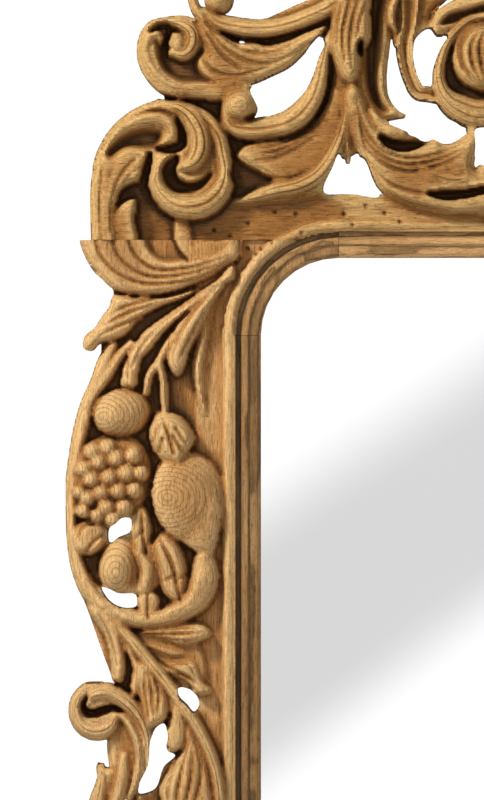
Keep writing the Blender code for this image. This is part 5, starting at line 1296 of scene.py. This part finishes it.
class CARVED_OT_liner(bpy.types.Operator):
    """Finish the liner, the glass and the backing board"""

    bl_idname = "mesh.carved_liner"
    bl_label = "Liner and glass"

    def execute(self, context):
        tones = {"light": (0.56, 0.34, 0.15), "middle": (0.41, 0.235, 0.095), "dark": (0.16, 0.085, 0.035)}
        level = wood("liner_wood_x", "x", carved=False, **tones)
        tones = {"light": (0.36, 0.21, 0.09), "middle": (0.25, 0.135, 0.052), "dark": (0.12, 0.065, 0.03)}
        upright = wood("liner_wood_z", "z", grey=0.35, carved=False, **tones)
        for node in ("liner_top", "liner_bottom"):
            finish_node(node, level)
        for node in ("liner_left", "liner_right"):
            finish_node(node, upright)
        tones = {"light": (0.43, 0.25, 0.105), "middle": (0.30, 0.165, 0.065), "dark": (0.13, 0.07, 0.03)}
        turned = wood("liner_wood_corner", "z", grey=0.25, carved=False, **tones)
        for node in ("top_left", "top_right", "bottom_left", "bottom_right"):
            finish_node("liner_corner_" + node, turned)
        finish_node("mirror_glass", silvered())
        plain = {"light": (0.27, 0.178, 0.1), "middle": (0.24, 0.155, 0.085), "dark": (0.18, 0.112, 0.06)}
        finish_node("backing_board", wood("backing_wood", "z", carved=False, **plain))
        return {"FINISHED"}


class CARVED_OT_stage(bpy.types.Operator):
    """Set up the camera, the studio light and the white surroundings"""

    bl_idname = "mesh.carved_stage"
    bl_label = "Studio"

    def execute(self, context):
        settings = context.scene.carved_mirror
        scene = context.scene
        scene.view_settings.view_transform = "Standard"
        world = bpy.data.worlds.new("studio")
        world.use_nodes = True
        background = world.node_tree.nodes["Background"]
        background.inputs["Color"].default_value = (1.0, 0.985, 0.96, 1.0)
        background.inputs["Strength"].default_value = settings.fill
        scene.world = world
        middle = Place("u")(PICTURE[0] / 2, PICTURE[1] / 2)
        target = Vector((middle[0], -0.035, middle[1]))
        eye = target + Vector((0, -settings.distance, 0))
        add_camera(scene, eye, settings.distance)
        backdrop = upright_panel("backdrop", (0, 0), BACKDROP_DEPTH, BACKDROP_HALF,
                                 glowing("backdrop_white", plain_white, 1.05))
        ground = floor_panel()
        away = settings.distance * CARD_DISTANCES
        card = upright_panel("reflected_card", middle, -away, away * CARD_SHARE,
                             glowing("card_gradient", reflected_band(eye, away), 1.0))
        for name, offset, size, power, colour in (
            ("key_light", (-1.9, -1.7, 2.0), 0.6, settings.key, (1.0, 0.95, 0.87)),
            ("front_light", (0.5, -3.2, 0.3), 1.6, settings.key * 0.12, (1.0, 0.97, 0.93)),
        ):
            data = bpy.data.lights.new(name, "AREA")
            data.shape = "DISK"
            data.size = size
            data.energy = power
            data.color = colour
            lamp = bpy.data.objects.new(name, data)
            lamp.location = target + Vector(offset)
            lamp.rotation_euler = (target - lamp.location).to_track_quat("-Z", "Y").to_euler()
            lamp.visible_glossy = False
            scene.collection.objects.link(lamp)
        return {"FINISHED"}


# Studio

def add_camera(scene, eye, distance):
    """A level camera that takes in the picture's height at its distance from the carving."""
    lens = bpy.data.cameras.new("camera")
    lens.sensor_fit = "VERTICAL"
    lens.sensor_height = FILM_HEIGHT
    lens.lens = FILM_HEIGHT * distance / (PICTURE[1] / 1000)
    lens.clip_end = CAMERA_REACH
    camera = bpy.data.objects.new("camera", lens)
    camera.location = eye
    camera.rotation_euler = (np.pi / 2, 0, 0)
    scene.collection.objects.link(camera)
    scene.camera = camera


def upright_panel(name, middle, depth, reach, finish):
    """A square panel that stands at a depth, facing the mirror."""
    side = reach if depth > 0 else -reach
    corners = [(middle[0] + across * side, depth, middle[1] + up * reach)
               for across, up in ((-1, -1), (1, -1), (1, 1), (-1, 1))]
    return add_object(name, panel_mesh(name, corners), finish)


def floor_panel():
    """The plain pale floor below the hanging mirror."""
    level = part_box("bottom_rail")[0][2] - FLOOR_DROP
    corners = [(-4, -5, level), (4, -5, level), (4, 5, level), (-4, 5, level)]
    finish, graph, shader = principled("floor_pale", roughness=0.8)
    speck = graph.noise(graph.place(), 30.0, 2.0)
    join(graph, graph.mix(speck, (0.8, 0.8, 0.79, 1.0), (0.84, 0.84, 0.83, 1.0)), shader, "Base Color")
    return add_object("floor", panel_mesh("floor", corners), finish)


def plain_white(graph):
    """Even white, with a breath of unevenness."""
    return graph.mix(graph.noise(graph.place(), 0.6, 1.0), (1.0, 1.0, 1.0, 1.0), (0.985, 0.985, 0.985, 1.0))


def reflected_band(eye, distance):
    """The grey band that the glass reflects, laid out on the card so that it falls where the picture has it.

    The distance is from the wall plane to the card.
    """
    def colour(graph):
        place = graph.place()
        x = graph.node("ShaderNodeSeparateXYZ", None, {0: place}, output="X")
        z = graph.node("ShaderNodeSeparateXYZ", None, {0: place}, output="Z")
        glass = -glass_low[1] if glass_low[1] < 0 else 0.0
        stretch = 1 + (distance - glass) / (-eye.y - glass)
        u = ((x - eye.x) / stretch + eye.x) * 1000.0 + SHEET_CENTRE
        v = (((z - eye.z) / stretch + eye.z - sight_top) * -1000.0) + SHEET_SIGHT_TOP
        upper = (v + (u - 280.0) * 0.66).between(440.0, 560.0)
        lower = (v + (u - 280.0) * 0.77).between(715.0, 815.0)
        return graph.mix(upper * (1.0 - lower), (1.08, 1.08, 1.08, 1.0), (0.715, 0.715, 0.715, 1.0))

    return colour


# Settings and panel

class CarvedMirrorSettings(bpy.types.PropertyGroup):
    """What can be set before the mirror is carved."""

    grid_step: bpy.props.FloatProperty(
        name="Grid step", description="Distance between the points of the carved surface",
        default=0.0018, min=0.001, max=0.01, unit="LENGTH", precision=4)
    distance: bpy.props.FloatProperty(
        name="Camera distance", description="Distance from the camera to the carving",
        default=6.0, min=1.0, unit="LENGTH")
    key: bpy.props.FloatProperty(
        name="Key light", description="Power of the light from the upper left, in watts",
        default=130.0, min=0.0)
    fill: bpy.props.FloatProperty(
        name="Fill", description="Strength of the light that comes from all round", default=0.18, min=0.0)


OPERATORS = (CARVED_OT_crest, CARVED_OT_rail, CARVED_OT_stiles, CARVED_OT_liner, CARVED_OT_stage)


class CARVED_PT_panel(bpy.types.Panel):
    """The mirror's settings and operators in the 3D view's sidebar"""

    bl_label = "Carved mirror"
    bl_space_type = "VIEW_3D"
    bl_region_type = "UI"
    bl_category = "Mirror"

    def draw(self, context):
        settings = context.scene.carved_mirror
        for name in ("grid_step", "distance", "key", "fill"):
            self.layout.prop(settings, name)
        for operator in OPERATORS:
            self.layout.operator(operator.bl_idname)


CLASSES = (CarvedMirrorSettings, *OPERATORS, CARVED_PT_panel)


def register():
    for item in CLASSES:
        bpy.utils.register_class(item)
    bpy.types.Scene.carved_mirror = bpy.props.PointerProperty(type=CarvedMirrorSettings)


def unregister():
    del bpy.types.Scene.carved_mirror
    for item in reversed(CLASSES):
        bpy.utils.unregister_class(item)


def main():
    """Registers the add-on and runs its operators in order."""
    register()
    bpy.ops.mesh.carved_crest()
    bpy.ops.mesh.carved_rail()
    bpy.ops.mesh.carved_stiles()
    bpy.ops.mesh.carved_liner()
    bpy.ops.mesh.carved_stage()


if __name__ == "__main__":
    main()
